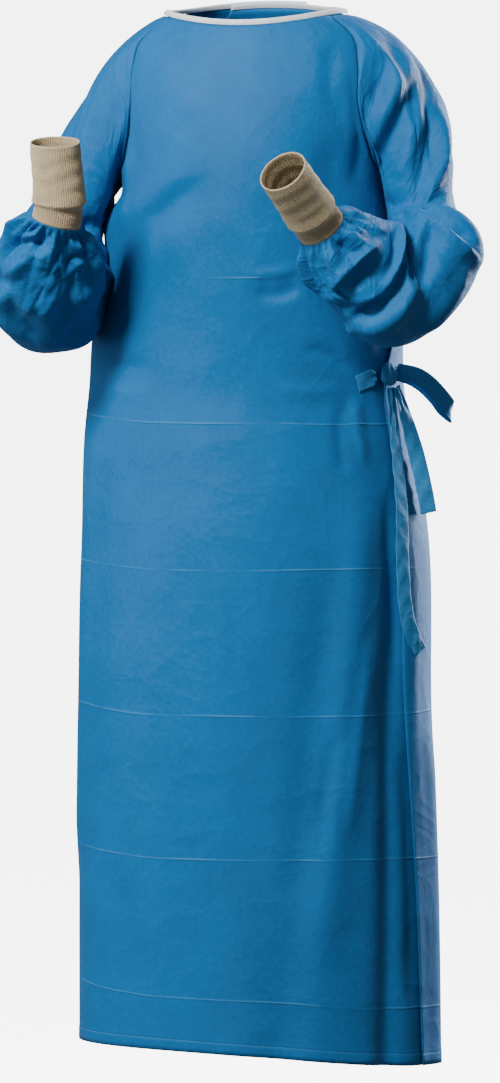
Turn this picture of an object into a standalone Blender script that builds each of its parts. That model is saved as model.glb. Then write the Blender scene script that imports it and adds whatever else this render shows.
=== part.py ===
"""A surgical gown in its worn form, hollow, with its raglan sleeves raised in front.

Run it with blender --background --python part.py. Metres, +Z up. The wearer faces -Y and the
wearer's left is +X. The origin is the middle of the neck opening, where the wearer holds it up.
Every piece of cloth is a thin wall: a grid of middle points, moved half its thickness each way.
"""

import math
from collections import namedtuple

import bmesh
import bpy
import numpy as np

# Driving dimensions
LENGTH = 1.248  # origin to hem at the side
NECK_HEIGHT = -0.007  # the cloth's neck edge; the binding stands on it up to the origin's height
ARMHOLE_DEPTH = 0.215
WAIST_HEIGHT = -0.450
CLOTH = 0.0015
KNIT = 0.0020
SEAM_GAP = 0.0003
LAYER = 0.0045  # the wrapped back's outer layer over its inner one
INNER_EASE = 0.004  # more room between the two, away from the inner one's seam
BINDING_HEIGHT = 0.0070
BINDING_THICKNESS = 0.0032
TIE_WIDTH = 0.020
TIE_THICKNESS = 0.0012
CUFF_RADIUS = 0.0285
HEM_TILT = 0.050  # the hem hangs lower on the wearer's left
POSE_TURN = math.radians(12)  # the arms are posed in a frame turned this far about Z

# Counts of points
RAGLAN_POINTS = 12
NECK_POINTS = 7
LEAST_ONWARD = 0.2  # how far a sleeve leaves its seam away from the panel, at least
WAIST_ROWS = 7
SKIRT_ROWS = 9
FRONT_COLUMNS = 25
INNER_COLUMNS = 15
OUTER_COLUMNS = 23
SHOULDER_RINGS = 8
ARM_RINGS = 19
CUFF_POINTS = 20

# Sections of the body. The height is that of the side; the drop and the rise lift or lower the
# centre front and the centre back of a section.
Section = namedtuple("Section", "height half_width front back shift drop rise")
BODY = [
    Section(-0.007, 0.111, 0.086, 0.078, 0.000, 0.017, 0.012),
    Section(-0.030, 0.150, 0.096, 0.090, 0.000, 0.016, 0.010),
    Section(-0.065, 0.172, 0.107, 0.103, 0.000, 0.012, 0.006),
    Section(-0.120, 0.172, 0.122, 0.118, 0.000, 0.006, 0.002),
    Section(-0.215, 0.160, 0.135, 0.126, -0.001, 0.000, 0.000),
    Section(-0.265, 0.168, 0.136, 0.125, -0.002, 0.000, 0.000),
    Section(-0.330, 0.174, 0.134, 0.122, -0.005, 0.000, 0.000),
    Section(-0.400, 0.182, 0.131, 0.119, -0.009, 0.000, 0.000),
    Section(-0.450, 0.184, 0.130, 0.119, -0.010, 0.000, 0.000),
    Section(-0.530, 0.196, 0.138, 0.128, -0.007, 0.000, 0.000),
    Section(-0.610, 0.206, 0.146, 0.136, -0.004, 0.000, 0.000),
    Section(-0.830, 0.211, 0.156, 0.146, -0.003, 0.000, 0.000),
    Section(-1.070, 0.215, 0.163, 0.153, 0.000, -0.004, 0.000),
    Section(-1.248, 0.216, 0.166, 0.156, 0.001, -0.012, 0.002),
]

# Where a seam or a free edge runs round the body, in degrees from the centre front.
EdgeRow = namedtuple("EdgeRow", "height degrees")
RAGLAN_FRONT = [
    EdgeRow(-0.007, 62),
    EdgeRow(-0.050, 54),
    EdgeRow(-0.110, 53),
    EdgeRow(-0.160, 62),
    EdgeRow(-0.195, 76),
    EdgeRow(-0.215, 91),
]
RAGLAN_BACK = [
    EdgeRow(-0.007, 120),
    EdgeRow(-0.050, 129),
    EdgeRow(-0.110, 129),
    EdgeRow(-0.160, 120),
    EdgeRow(-0.195, 106),
    EdgeRow(-0.215, 91),
]
FLAP_EDGE = [  # the outer back panel's free edge comes round to the wearer's left front
    EdgeRow(-0.007, 155),
    EdgeRow(-0.110, 145),
    EdgeRow(-0.215, 124),
    EdgeRow(-0.330, 92),
    EdgeRow(-0.430, 71),
    EdgeRow(-0.560, 67),
    EdgeRow(-0.830, 67),
    EdgeRow(-1.070, 71),
    EdgeRow(-1.248, 74),
]
INNER_EDGE = [  # the inner back panel's free edge, under the flap
    EdgeRow(-0.007, 205),
    EdgeRow(-0.215, 212),
    EdgeRow(-1.248, 216),
]
SIDE_SEAM = 91
LAYER_FROM, LAYER_TO = 238, 150  # degrees between which the flap rises off the inner layer

# Long soft folds that hang down the body: ridges are positive, troughs negative.
BodyFold = namedtuple("BodyFold", "top bottom top_degrees bottom_degrees width depth")
BODY_FOLDS = [
    BodyFold(-0.52, -1.15, 49, 29, 0.026, 0.007),
    BodyFold(-0.60, -1.25, 38, 16, 0.030, -0.005),
    BodyFold(-0.62, -1.30, 62, 56, 0.022, -0.010),
    BodyFold(-0.80, -1.30, 84, 88, 0.026, 0.006),
    BodyFold(-0.47, -1.05, -62, -74, 0.030, 0.005),
    BodyFold(-0.50, -1.30, 118, 112, 0.034, -0.007),
    BodyFold(-0.46, -1.30, 140, 146, 0.034, 0.007),
    BodyFold(-0.52, -1.30, 170, 168, 0.034, -0.007),
    BodyFold(-0.46, -1.20, 196, 200, 0.034, 0.007),
    BodyFold(-0.50, -1.30, 226, 232, 0.034, -0.007),
    BodyFold(-0.10, -0.34, -48, -74, 0.026, -0.006),
    BodyFold(-0.14, -0.40, 40, 58, 0.024, -0.005),
    BodyFold(-0.06, -0.40, 160, 164, 0.028, -0.005),
    BodyFold(-0.06, -0.40, 208, 200, 0.028, -0.005),
]

# The knot's place over the body, and the paths of the loop and of the ties' hanging ends.
Knot = namedtuple("Knot", "degrees height out")
KNOT = Knot(69.5, -0.436, 0.0123)
LoopRow = namedtuple("LoopRow", "along down out")
LOOP_PATH = [
    LoopRow(0.0142, -0.003, 0.0020),
    LoopRow(0.0260, 0.003, 0.022),
    LoopRow(0.0410, 0.026, 0.043),
    LoopRow(0.0480, 0.041, 0.051),
    LoopRow(0.0550, 0.049, 0.049),
    LoopRow(0.0580, 0.045, 0.040),
    LoopRow(0.0520, 0.028, 0.029),
    LoopRow(0.0330, 0.006, 0.012),
    LoopRow(0.0143, -0.003, -0.0026),
]
TailRow = namedtuple("TailRow", "degrees height out turn")
LONG_TAIL = [
    TailRow(69.0, -0.4527, 0.0125, 0),
    TailRow(69.5, -0.500, 0.0082, 0),
    TailRow(66.0, -0.600, 0.0082, 0),
    TailRow(64.5, -0.660, 0.0080, 5),
    TailRow(68.0, -0.735, 0.0095, 12),
    TailRow(74.0, -0.765, 0.0105, 12),
]
SHORT_TAIL = [
    TailRow(72.5, -0.4525, 0.0146, 3),
    TailRow(76.5, -0.480, 0.0140, 10),
    TailRow(80.0, -0.530, 0.0140, 45),
    TailRow(82.0, -0.575, 0.0150, 50),
    TailRow(83.0, -0.603, 0.0150, 50),
]

# The way the cloth leaves the neck towards each shoulder, as a slope, and how full the shoulder is.
Shoulder = namedtuple("Shoulder", "slope fullness")
LEFT_SHOULDER = Shoulder(-0.25, 0.45)
RIGHT_SHOULDER = Shoulder(-0.46, 0.18)

# Sections across a sleeve, from just past the armhole to the cuff: the points on the inner and the
# outer side of the elbow, in the turned frame, and the half width across them.
Ring = namedtuple("Ring", "inner outer side")
LEFT_RINGS = [
    Ring((0.164, -0.106, -0.250), (0.224, -0.034, -0.216), 0.044),
    Ring((0.165, -0.121, -0.262), (0.224, -0.048, -0.244), 0.046),
    Ring((0.165, -0.133, -0.266), (0.234, -0.078, -0.285), 0.048),
    Ring((0.160, -0.143, -0.268), (0.254, -0.116, -0.322), 0.058),
    Ring((0.153, -0.151, -0.264), (0.222, -0.158, -0.368), 0.056),
    Ring((0.145, -0.159, -0.260), (0.180, -0.188, -0.398), 0.054),
    Ring((0.136, -0.168, -0.255), (0.138, -0.212, -0.396), 0.051),
    Ring((0.126, -0.179, -0.250), (0.104, -0.228, -0.362), 0.048),
    Ring((0.116, -0.191, -0.246), (0.080, -0.236, -0.336), 0.044),
    Ring((0.104, -0.204, -0.243), (0.067, -0.243, -0.311), 0.039),
    Ring((0.088, -0.219, -0.242), (0.062, -0.250, -0.285), 0.029),
]
RIGHT_RINGS = [
    Ring((-0.212, -0.026, -0.250), (-0.226, 0.062, -0.226), 0.044),
    Ring((-0.224, -0.042, -0.266), (-0.243, 0.072, -0.274), 0.052),
    Ring((-0.234, -0.057, -0.277), (-0.258, 0.062, -0.333), 0.064),
    Ring((-0.241, -0.070, -0.277), (-0.263, 0.022, -0.386), 0.070),
    Ring((-0.244, -0.083, -0.272), (-0.263, -0.036, -0.410), 0.072),
    Ring((-0.244, -0.096, -0.265), (-0.260, -0.092, -0.402), 0.070),
    Ring((-0.243, -0.108, -0.258), (-0.254, -0.136, -0.366), 0.064),
    Ring((-0.240, -0.120, -0.252), (-0.246, -0.165, -0.324), 0.055),
    Ring((-0.237, -0.132, -0.249), (-0.239, -0.182, -0.290), 0.045),
    Ring((-0.234, -0.145, -0.249), (-0.233, -0.200, -0.264), 0.029),
]

# The cuff's far end, as the middle of its rim in the turned frame.
LEFT_HAND_END = (0.030, -0.296, -0.200)
RIGHT_HAND_END = (-0.234, -0.196, -0.164)

# Folds across a sleeve, from one place to another on it. A place is how far down the sleeve, from 0
# at the armhole to 1 at the cuff, and the degrees round from the outer side of the elbow.
SleeveFold = namedtuple("SleeveFold", "start start_degrees end end_degrees width depth")
LEFT_FOLDS = [
    SleeveFold(0.10, -75, 0.34, -160, 0.015, -0.008),
    SleeveFold(0.07, -118, 0.15, -170, 0.013, -0.006),
    SleeveFold(0.18, -50, 0.33, -115, 0.016, 0.005),
    SleeveFold(0.42, -140, 0.53, -48, 0.015, 0.008),
    SleeveFold(0.50, -140, 0.64, -78, 0.014, -0.009),
    SleeveFold(0.64, -125, 0.75, -15, 0.015, 0.008),
    SleeveFold(0.74, -110, 0.80, -5, 0.013, -0.006),
    SleeveFold(0.12, 60, 0.33, 150, 0.016, -0.007),
    SleeveFold(0.22, 20, 0.36, 100, 0.018, 0.006),
    SleeveFold(0.46, 145, 0.56, 55, 0.015, -0.008),
    SleeveFold(0.56, 135, 0.68, 40, 0.016, 0.007),
    SleeveFold(0.72, 120, 0.80, 50, 0.014, -0.006),
]
RIGHT_FOLDS = [
    SleeveFold(0.10, 75, 0.32, 150, 0.015, -0.006),
    SleeveFold(0.20, 60, 0.34, 120, 0.016, 0.005),
    SleeveFold(0.58, 125, 0.74, 85, 0.015, 0.008),
    SleeveFold(0.66, 120, 0.80, 45, 0.014, -0.008),
    SleeveFold(0.74, 60, 0.84, 5, 0.014, 0.007),
    SleeveFold(0.60, -140, 0.70, -40, 0.015, -0.008),
    SleeveFold(0.70, -120, 0.80, -30, 0.014, 0.006),
    SleeveFold(0.12, -60, 0.33, -150, 0.016, -0.007),
    SleeveFold(0.22, -20, 0.38, -100, 0.018, 0.006),
    SleeveFold(0.44, -145, 0.55, -60, 0.015, 0.007),
    SleeveFold(0.46, 140, 0.58, 50, 0.016, -0.007),
]
SLEEVE_LENGTH, SLEEVE_RADIUS = 0.70, 0.060
CROOK_CALM = 0.7  # the folds are shallower in the crook of the elbow, where the rings run close
CUFF_GATHERS = 8
GATHER_DEPTH = 0.006

Material = namedtuple("Material", "name colour roughness")
BLUE_CLOTH = Material("blue_nonwoven", (0.030, 0.180, 0.400), 0.62)
WHITE_TAPE = Material("white_tape", (0.800, 0.820, 0.840), 0.70)
CREAM_KNIT = Material("cream_knit", (0.720, 0.620, 0.440), 0.85)
GREY_HOOKS = Material("pale_hook_tape", (0.700, 0.740, 0.780), 0.80)


def unit(vectors):
    return vectors / np.maximum(np.linalg.norm(vectors, axis=-1, keepdims=True), 1e-12)


def smoothstep(value):
    value = np.clip(value, 0.0, 1.0)
    return value * value * (3.0 - 2.0 * value)


def along_rows(keys, values, at):
    """The values at other keys, on a cubic through the rows whose slopes are those of its chords."""
    keys = np.asarray(keys, float)
    values = np.asarray(values, float).reshape(len(keys), -1)
    order = np.argsort(keys)
    keys, values = keys[order], values[order]
    slopes = np.gradient(values, keys, axis=0)
    at = np.asarray(at, float)
    place = np.clip(np.searchsorted(keys, at) - 1, 0, len(keys) - 2)
    step = keys[place + 1] - keys[place]
    t = ((np.clip(at, keys[0], keys[-1]) - keys[place]) / step)[..., None]
    step = step[..., None]
    low, high = values[place], values[place + 1]
    return (
        (2 * t**3 - 3 * t**2 + 1) * low
        + (t**3 - 2 * t**2 + t) * step * slopes[place]
        + (3 * t**2 - 2 * t**3) * high
        + (t**3 - t**2) * step * slopes[place + 1]
    )


def edge_angle(rows, height):
    """The angle in radians of a seam or free edge at each height."""
    degrees = along_rows([r.height for r in rows], [r.degrees for r in rows], height)
    return np.radians(degrees[..., 0])


def plain_body(angle, height):
    """The body without folds: an oval at each height, deeper or shallower in front and behind."""
    angle, height = np.broadcast_arrays(np.asarray(angle, float), np.asarray(height, float))
    columns = along_rows([s.height for s in BODY], [s[1:] for s in BODY], height)
    half_width, front, back, shift, drop, rise = np.moveaxis(columns, -1, 0)
    facing = np.cos(angle)
    depth = np.where(facing > 0, front, back)
    lift = np.where(facing > 0, -drop, rise) * facing**2
    x = shift + half_width * np.sin(angle)
    tilt = HEM_TILT * x * smoothstep((-height - 0.95) / (LENGTH - 0.95))
    return np.stack([x, -depth * facing, height + lift - tilt], axis=-1)


def body_normal(angle, height):
    """The outward direction of the plain body, from its slopes round it and down it."""
    turn, drop = 1e-3, 1e-4
    across = plain_body(angle + turn, height) - plain_body(angle - turn, height)
    down = plain_body(angle, height - drop) - plain_body(angle, height + drop)
    return unit(np.cross(down, across))


def body_fold_height(angle, height):
    """How far the hanging folds move the cloth out: each is a bell across its width."""
    total = np.zeros(np.broadcast(angle, height).shape)
    degrees = np.degrees(angle) % 360
    reach = along_rows([s.height for s in BODY], [s.half_width for s in BODY], height)[..., 0]
    for fold in BODY_FOLDS:
        share = np.clip((fold.top - height) / (fold.top - fold.bottom), 0, 1)
        centre = fold.top_degrees + share * (fold.bottom_degrees - fold.top_degrees)
        away = (degrees - centre + 180) % 360 - 180
        bell = np.exp(-((np.radians(away) * reach / fold.width) ** 2))
        ends = smoothstep(share * 4.0) * smoothstep((1.02 - share) * 6.0)
        ends = np.where(fold.bottom < -LENGTH, smoothstep(share * 4.0), ends)
        total = total + fold.depth * bell * ends
    return total


def body(angle, height, out=0.0, folded=1.0):
    """The gown's body at that angle and height, moved out by a distance."""
    out = out + body_fold_height(angle, height) * folded
    return plain_body(angle, height) + body_normal(angle, height) * np.asarray(out)[..., None]


def seam_normal(angle, height):
    """The outward direction of the folded body, the same for both pieces that meet at a seam."""
    turn, drop = 2e-3, 3e-4
    across = body(angle + turn, height) - body(angle - turn, height)
    down = body(angle, height - drop) - body(angle, height + drop)
    return unit(np.cross(down, across))


def flap_rise(angle):
    """How far the wrapped back's outer layer lies outside the single layer of the body."""
    return LAYER * smoothstep((LAYER_FROM - np.degrees(angle)) / (LAYER_FROM - LAYER_TO))


def inner_sink(angle, share):
    """How far the inner layer lies inside the single layer; share is the way from its seam."""
    return flap_rise(angle) - LAYER - INNER_EASE * smoothstep(share * 4.0)


def grid_normals(points, around):
    """The direction away from the cloth at each grid point, from its neighbours."""
    down = np.gradient(points, axis=0)
    if around:
        across = np.roll(points, -1, axis=1) - np.roll(points, 1, axis=1)
    else:
        across = np.gradient(points, axis=1)
    return unit(np.cross(down, across))


def make_material(finish):
    found = bpy.data.materials.get(finish.name)
    if found:
        return found
    material = bpy.data.materials.new(finish.name)
    material.use_nodes = True
    shader = material.node_tree.nodes["Principled BSDF"]
    shader.inputs["Base Color"].default_value = (*finish.colour, 1.0)
    shader.inputs["Roughness"].default_value = finish.roughness
    shader.inputs["Metallic"].default_value = 0.0
    material.diffuse_color = (*finish.colour, 1.0)
    return material


def wall(name, middle, thickness, finish, around=False, normals=None):
    """A closed solid on a grid of middle points. Both sides share their diagonals, so the wall is even."""
    rows, columns, _ = middle.shape
    normals = grid_normals(middle, around) if normals is None else normals
    sides = [middle + normals * thickness / 2, middle - normals * thickness / 2]
    points = np.concatenate([side.reshape(-1, 3) for side in sides])
    index = np.arange(rows * columns).reshape(rows, columns)
    if around:
        index = np.concatenate([index, index[:, :1]], axis=1)
    inside = index + rows * columns
    a, b, c, d = index[:-1, :-1], index[1:, :-1], index[1:, 1:], index[:-1, 1:]
    faces = [np.stack([a, b, c], -1), np.stack([a, c, d], -1)]
    a, b, c, d = inside[:-1, :-1], inside[1:, :-1], inside[1:, 1:], inside[:-1, 1:]
    faces += [np.stack([a, c, b], -1), np.stack([a, d, c], -1)]
    rims = [(index[0], inside[0]), (index[-1][::-1], inside[-1][::-1])]
    if not around:
        rims += [(index[:, 0][::-1], inside[:, 0][::-1]), (index[:, -1], inside[:, -1])]
    for near, far in rims:
        faces.append(np.stack([near[:-1], near[1:], far[1:]], -1))
        faces.append(np.stack([near[:-1], far[1:], far[:-1]], -1))
    faces = np.concatenate([f.reshape(-1, 3) for f in faces])
    return solid(name, points, faces, finish)


def solid(name, points, faces, finish):
    mesh = bpy.data.meshes.new(name)
    mesh.from_pydata(points.tolist(), [], faces.tolist())
    shaped = bmesh.new()
    shaped.from_mesh(mesh)
    bmesh.ops.recalc_face_normals(shaped, faces=shaped.faces)
    shaped.to_mesh(mesh)
    shaped.free()
    mesh.shade_smooth()
    mesh.set_sharp_from_angle(angle=math.radians(50))
    mesh.materials.append(make_material(finish))
    made = bpy.data.objects.new(name, mesh)
    bpy.context.scene.collection.objects.link(made)
    return made


def pulled_back(points, columns=(), rows=(), gap=SEAM_GAP / 2):
    """The grid with those outermost columns and rows drawn in from their seams, square to the seam."""
    moved = points.copy()
    for column in columns:
        inward = points[:, 1 if column == 0 else -2] - points[:, column]
        seam = unit(np.gradient(points[:, column], axis=0))
        moved[:, column] += gap * unit(inward - (inward * seam).sum(-1, keepdims=True) * seam)
    for row in rows:
        inward = points[1 if row == 0 else -2] - points[row]
        moved[row] += gap * unit(inward)
    return moved


def body_heights():
    """Heights of the body's rows: closer together beside the armholes than down the skirt."""
    upper = np.linspace(NECK_HEIGHT, -ARMHOLE_DEPTH, RAGLAN_POINTS)
    waist = np.linspace(-ARMHOLE_DEPTH, WAIST_HEIGHT, WAIST_ROWS + 1)[1:]
    skirt = np.linspace(WAIST_HEIGHT, -LENGTH, SKIRT_ROWS + 1)[1:]
    return np.concatenate([upper, waist, skirt])


def side_angles(heights, raglan):
    """The angle of a panel's seam edge: the raglan seam above the underarm, the side seam below."""
    above = edge_angle(raglan, np.maximum(heights, -ARMHOLE_DEPTH))
    return np.where(heights >= -ARMHOLE_DEPTH - 1e-9, above, math.radians(SIDE_SEAM))


def panel(heights, first, last, columns):
    """Angles, heights and shares across of a body panel's points, from one edge to the other."""
    share = np.linspace(0, 1, columns) * np.ones((len(heights), 1))
    angle = first[:, None] + (last - first)[:, None] * share
    return angle, np.broadcast_to(heights[:, None], angle.shape), share


def sewn_panel(name, points, angle, height, seams):
    """A panel whose seam columns share their directions with the pieces sewn on there."""
    normals = grid_normals(points, False)
    for column in seams:
        normals[:, column] = seam_normal(angle[:, column], height[:, column])
    middle = pulled_back(points, columns=seams, rows=(0,))
    return wall(name, middle, CLOTH, BLUE_CLOTH, normals=normals)


def front_panel():
    heights = body_heights()
    edge = side_angles(heights, RAGLAN_FRONT)
    angle, height, _ = panel(heights, -edge, edge, FRONT_COLUMNS)
    points = body(angle, height)
    return sewn_panel("front", points, angle, height, seams=(0, -1))


def back_left_panel():
    """The inner half of the wrapped back, from the left side seam to a free edge under the flap."""
    heights = body_heights()
    seam = side_angles(heights, RAGLAN_BACK)
    free = edge_angle(INNER_EDGE, heights)
    angle, height, share = panel(heights, seam, free, INNER_COLUMNS)
    folded = 1 - 0.7 * smoothstep(share * 4.0)
    points = body(angle, height, inner_sink(angle, share), folded)
    return sewn_panel("back_left", points, angle, height, seams=(0,))


def back_right_panel():
    """The outer half, from the right side seam round the back to its free edge at the left front."""
    heights = body_heights()
    seam = 2 * math.pi - side_angles(heights, RAGLAN_BACK)
    free = edge_angle(FLAP_EDGE, heights)
    angle, height, _ = panel(heights, free, seam, OUTER_COLUMNS)
    points = body(angle, height, flap_rise(angle))
    return sewn_panel("back_right", points, angle, height, seams=(-1,))


def from_pose(point):
    """A point of the turned frame that the arms are posed in, as a point of the gown's frame."""
    x, y, z = np.moveaxis(np.asarray(point, float), -1, 0)
    turn = math.cos(POSE_TURN), math.sin(POSE_TURN)
    return np.stack([x * turn[0] - y * turn[1], x * turn[1] + y * turn[0], z], axis=-1)


def armhole(side):
    """The armhole's seam as a closed loop from the underarm up the front, over the neck, down the back."""
    heights = np.linspace(NECK_HEIGHT, -ARMHOLE_DEPTH, RAGLAN_POINTS)
    front, back = edge_angle(RAGLAN_FRONT, heights), edge_angle(RAGLAN_BACK, heights)
    neck = np.linspace(front[0], back[0], NECK_POINTS + 2)[1:-1]
    angle = np.concatenate([front[::-1], neck, back[:-1]])
    height = np.concatenate([heights[::-1], np.full(NECK_POINTS, NECK_HEIGHT), heights[:-1]])
    depth = (NECK_HEIGHT - height) / (NECK_HEIGHT + ARMHOLE_DEPTH)
    return body(side * angle, height), body_normal(side * angle, height), depth


def arm_frames(rings, at):
    """Centre, outward half width and sideways unit vector of the arm's sections at 0 to 1."""
    keys = np.linspace(0, 1, len(rings))
    table = np.array([(*r.inner, *r.outer, r.side) for r in rings])
    inner, outer, half = (along_rows(keys, table[:, c], at) for c in (slice(0, 3), slice(3, 6), 6))
    inner, outer = from_pose(inner), from_pose(outer)
    centre, outward = (inner + outer) / 2, (outer - inner) / 2
    step = 0.09
    ahead, behind = (
        from_pose(
            (along_rows(keys, table[:, 0:3], x) + along_rows(keys, table[:, 3:6], x)) / 2
        )
        for x in (np.minimum(at + step, 1), np.maximum(at - step, 0))
    )
    tangent = unit(ahead - behind)
    sideways = unit(np.cross(outward, tangent))
    return centre, outward, sideways, half[..., 0], tangent


def arm_tube(rings, at, turn):
    """The sleeve past the armhole: an oval across each section, at 0 to 1 and at angles round it."""
    centre, outward, sideways, half, _ = arm_frames(rings, at)
    cosine, sine = np.cos(turn)[..., None], np.sin(turn)[..., None]
    return centre + outward * cosine + sideways * half[..., None] * sine


def sleeve_fold_height(folds, at, turn):
    """How far the folds move the sleeve out: a bell across a line between two places on it."""
    total = np.zeros(np.broadcast(at, turn).shape)
    degrees = np.degrees(turn)
    metres = SLEEVE_LENGTH, math.radians(1) * SLEEVE_RADIUS
    for fold in folds:
        run = np.array([fold.end - fold.start, fold.end_degrees - fold.start_degrees]) * metres
        away = (degrees - fold.start_degrees + 180) % 360 - 180
        place = np.stack([at - fold.start, away], axis=-1) * metres
        share = np.clip((place @ run) / (run @ run), 0, 1)
        distance = np.linalg.norm(place - share[..., None] * run, axis=-1)
        total = total + fold.depth * np.exp(-((distance / fold.width) ** 2))
    crook = np.abs((degrees + 180) % 360 - 180)
    return total * (1 - CROOK_CALM * smoothstep((crook - 105) / 50))


def gathers(at, turn):
    """Small pleats that fan out from the cuff's seam and die away up the sleeve."""
    rise = smoothstep((1 - at) / 0.07) * smoothstep((at - 0.70) / 0.20)
    return GATHER_DEPTH * rise * np.cos(CUFF_GATHERS * turn + 0.7 * np.sin(2 * turn))


def sleeve_grid(side, rings, folds, shoulder):
    """Rings of points from the armhole to the cuff."""
    loop, normal, depth = armhole(side)
    count = len(loop)
    _, _, sideways, _, tangent = (v[0] for v in arm_frames(rings, np.zeros(1)))
    turns = -math.copysign(1.0, sideways[0] * side) * (math.pi / 2 + 2 * math.pi * np.arange(count) / count)
    first = arm_tube(rings, np.zeros(count), turns)

    chord = first - loop
    reach = np.linalg.norm(chord, axis=-1, keepdims=True)
    arrive = reach * 0.8
    flat = unit(chord - (chord * normal).sum(-1, keepdims=True) * normal)
    lift = smoothstep((depth - 0.30) / 0.70)[:, None]
    leaving = unit(flat * (1 - lift) + (unit(chord) + normal * 0.7) * lift)
    top = smoothstep((0.42 - depth) / 0.42)[:, None]
    leaving = unit(leaving * (1 - top) + np.array([side * 1.0, 0, shoulder.slope]) * top)
    reach = reach * (1.0 - 0.3 * lift + (0.1 + shoulder.fullness) * top)
    along = unit(np.roll(loop, -1, axis=0) - np.roll(loop, 1, axis=0))
    away = unit(np.cross(along, normal))
    away *= math.copysign(1.0, (away * chord).sum(-1)[count // 2])
    onward = np.maximum((leaving * away).sum(-1, keepdims=True), LEAST_ONWARD)
    outward = np.maximum((leaving * normal).sum(-1, keepdims=True), 0.0)
    sideways = (leaving * along).sum(-1, keepdims=True)
    leaving = unit(away * onward + normal * outward + along * sideways)
    square = unit(away * onward + normal * outward)
    crease = (square * normal).sum(-1, keepdims=True)
    start = loop + away * (SEAM_GAP / 2 + (CLOTH / 2 + SEAM_GAP / 2) * crease)

    t = np.linspace(0, 1, SHOULDER_RINGS + 1)[:-1, None, None]
    cap = (
        (2 * t**3 - 3 * t**2 + 1) * start
        + (t**3 - 2 * t**2 + t) * leaving * reach
        + (3 * t**2 - 2 * t**3) * first
        + (t**3 - t**2) * tangent * arrive
    )
    at = np.linspace(0, 1, ARM_RINGS)[:, None] * np.ones(count)
    turn = turns[None, :] * np.ones_like(at)
    arm = arm_tube(rings, at, turn)
    grid = np.concatenate([cap, arm])
    out = grid_normals(grid, True)
    if ((out[-1] * (grid[-1] - grid[-1].mean(0))).sum(-1)).mean() < 0:
        out = -out
    share = np.linspace(0, 1, len(grid))[:, None] * np.ones(count)
    turn = turns[None, :] * np.ones_like(share)
    move = sleeve_fold_height(folds, share, turn) + gathers(share, turn)
    move[0] = 0
    grid = grid + out * move[..., None]
    centre, facing, spokes = cuff_seam(rings, turns)
    grid[-1] = centre - facing * SEAM_GAP / 2 + spokes * CUFF_RADIUS
    normals = grid_normals(grid, True)
    normals *= math.copysign(1.0, (normals[-1] * spokes).sum())
    hem = unit(np.cross(along, square))
    normals[0] = hem * np.sign((hem * normals[0]).sum(-1, keepdims=True))
    normals[-1] = spokes
    return grid, normals


def cuff_seam(rings, turn):
    """The round seam between sleeve and cuff: its centre, the way it faces, and its spokes."""
    centre, outward, _, _, tangent = (v[0] for v in arm_frames(rings, np.ones(1)))
    one = unit(outward)
    facing = unit(tangent - (tangent @ one) * one)
    two = np.cross(one, facing)
    spokes = np.cos(turn)[:, None] * one + np.sin(turn)[:, None] * two
    return centre, facing, spokes


def sleeve(name, side, rings, folds, shoulder):
    middle, normals = sleeve_grid(side, rings, folds, shoulder)
    return wall(name, middle, CLOTH, BLUE_CLOTH, around=True, normals=normals)


def cuff(name, rings, hand_end):
    """A knitted tube from the sleeve's last section to its rim at the hand, drawn in a little."""
    turn = np.linspace(0, 2 * math.pi, CUFF_POINTS, endpoint=False)
    centre, facing, first = cuff_seam(rings, turn)
    start, end = centre + facing * SEAM_GAP / 2, from_pose(hand_end)
    reach = np.linalg.norm(end - start)
    t = np.array([0, 0.12, 0.22, 0.27, 0.45, 0.72, 1.0])[:, None]
    bend = (t**3 - 2 * t**2 + t) * facing * reach
    bend = bend + (t**3 - t**2) * unit(end - start) * reach
    line = (2 * t**3 - 3 * t**2 + 1) * start + (3 * t**2 - 2 * t**3) * end + bend
    radius = CUFF_RADIUS * np.array([1.0, 0.97, 0.97, 1.04, 1.02, 1.0, 0.99])
    tangent = unit(np.gradient(line, axis=0))
    tangent[0] = facing
    middle = []
    for here, way, size in zip(line, tangent, radius):
        spokes = unit(first - (first @ way)[:, None] * way)
        middle.append(here + spokes * size)
    middle = np.array(middle)
    normals = grid_normals(middle, True)
    normals *= math.copysign(1.0, (normals[0] * first).sum())
    normals[0] = first
    return wall(name, middle, KNIT, CREAM_KNIT, around=True, normals=normals)


def neck_binding():
    """The white tape round the neck, from the inner layer's free edge round to the flap's."""
    ends = edge_angle(INNER_EDGE, NECK_HEIGHT), 2 * math.pi - edge_angle(FLAP_EDGE, NECK_HEIGHT)
    turn = np.linspace(float(ends[0]), -float(ends[1]), 60)
    back = math.radians(RAGLAN_BACK[0].degrees)
    out = np.where(turn > back, inner_sink(turn, (turn - back) / (float(ends[0]) - back)), 0.0)
    out = np.where(turn < -back, flap_rise(turn + 2 * math.pi), out)
    base = plain_body(turn, NECK_HEIGHT) + body_normal(turn, NECK_HEIGHT) * out[:, None]
    up = unit(plain_body(turn, NECK_HEIGHT) - plain_body(turn, NECK_HEIGHT - 0.004))
    up = unit(up + np.array([0, 0, 0.8]))
    height = np.array([2 * SEAM_GAP, BINDING_HEIGHT / 2, BINDING_HEIGHT])[:, None, None]
    middle = base[None] + up[None] * height
    along = unit(np.gradient(base, axis=0))
    normals = np.broadcast_to(unit(np.cross(up, along)), middle.shape)
    return wall("neck_binding", middle, BINDING_THICKNESS, WHITE_TAPE, normals=normals)


def neck_fastener():
    """The hook-and-loop patch that holds the two layers together at the back of the neck."""
    angle = np.radians(np.linspace(168, 192, 6))[None, :] * np.ones((4, 1))
    height = np.linspace(-0.010, -0.036, 4)[:, None] * np.ones((1, 6))
    room = LAYER + INNER_EASE
    middle = body(angle, height, flap_rise(angle) - room / 2)
    return wall("neck_fastener", middle, room - CLOTH - 0.0014, GREY_HOOKS)


def on_body(degrees, height, out):
    """A point over the body's cloth at that angle and height."""
    return body(np.radians(np.asarray(degrees, float)), np.asarray(height, float), out)


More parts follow.
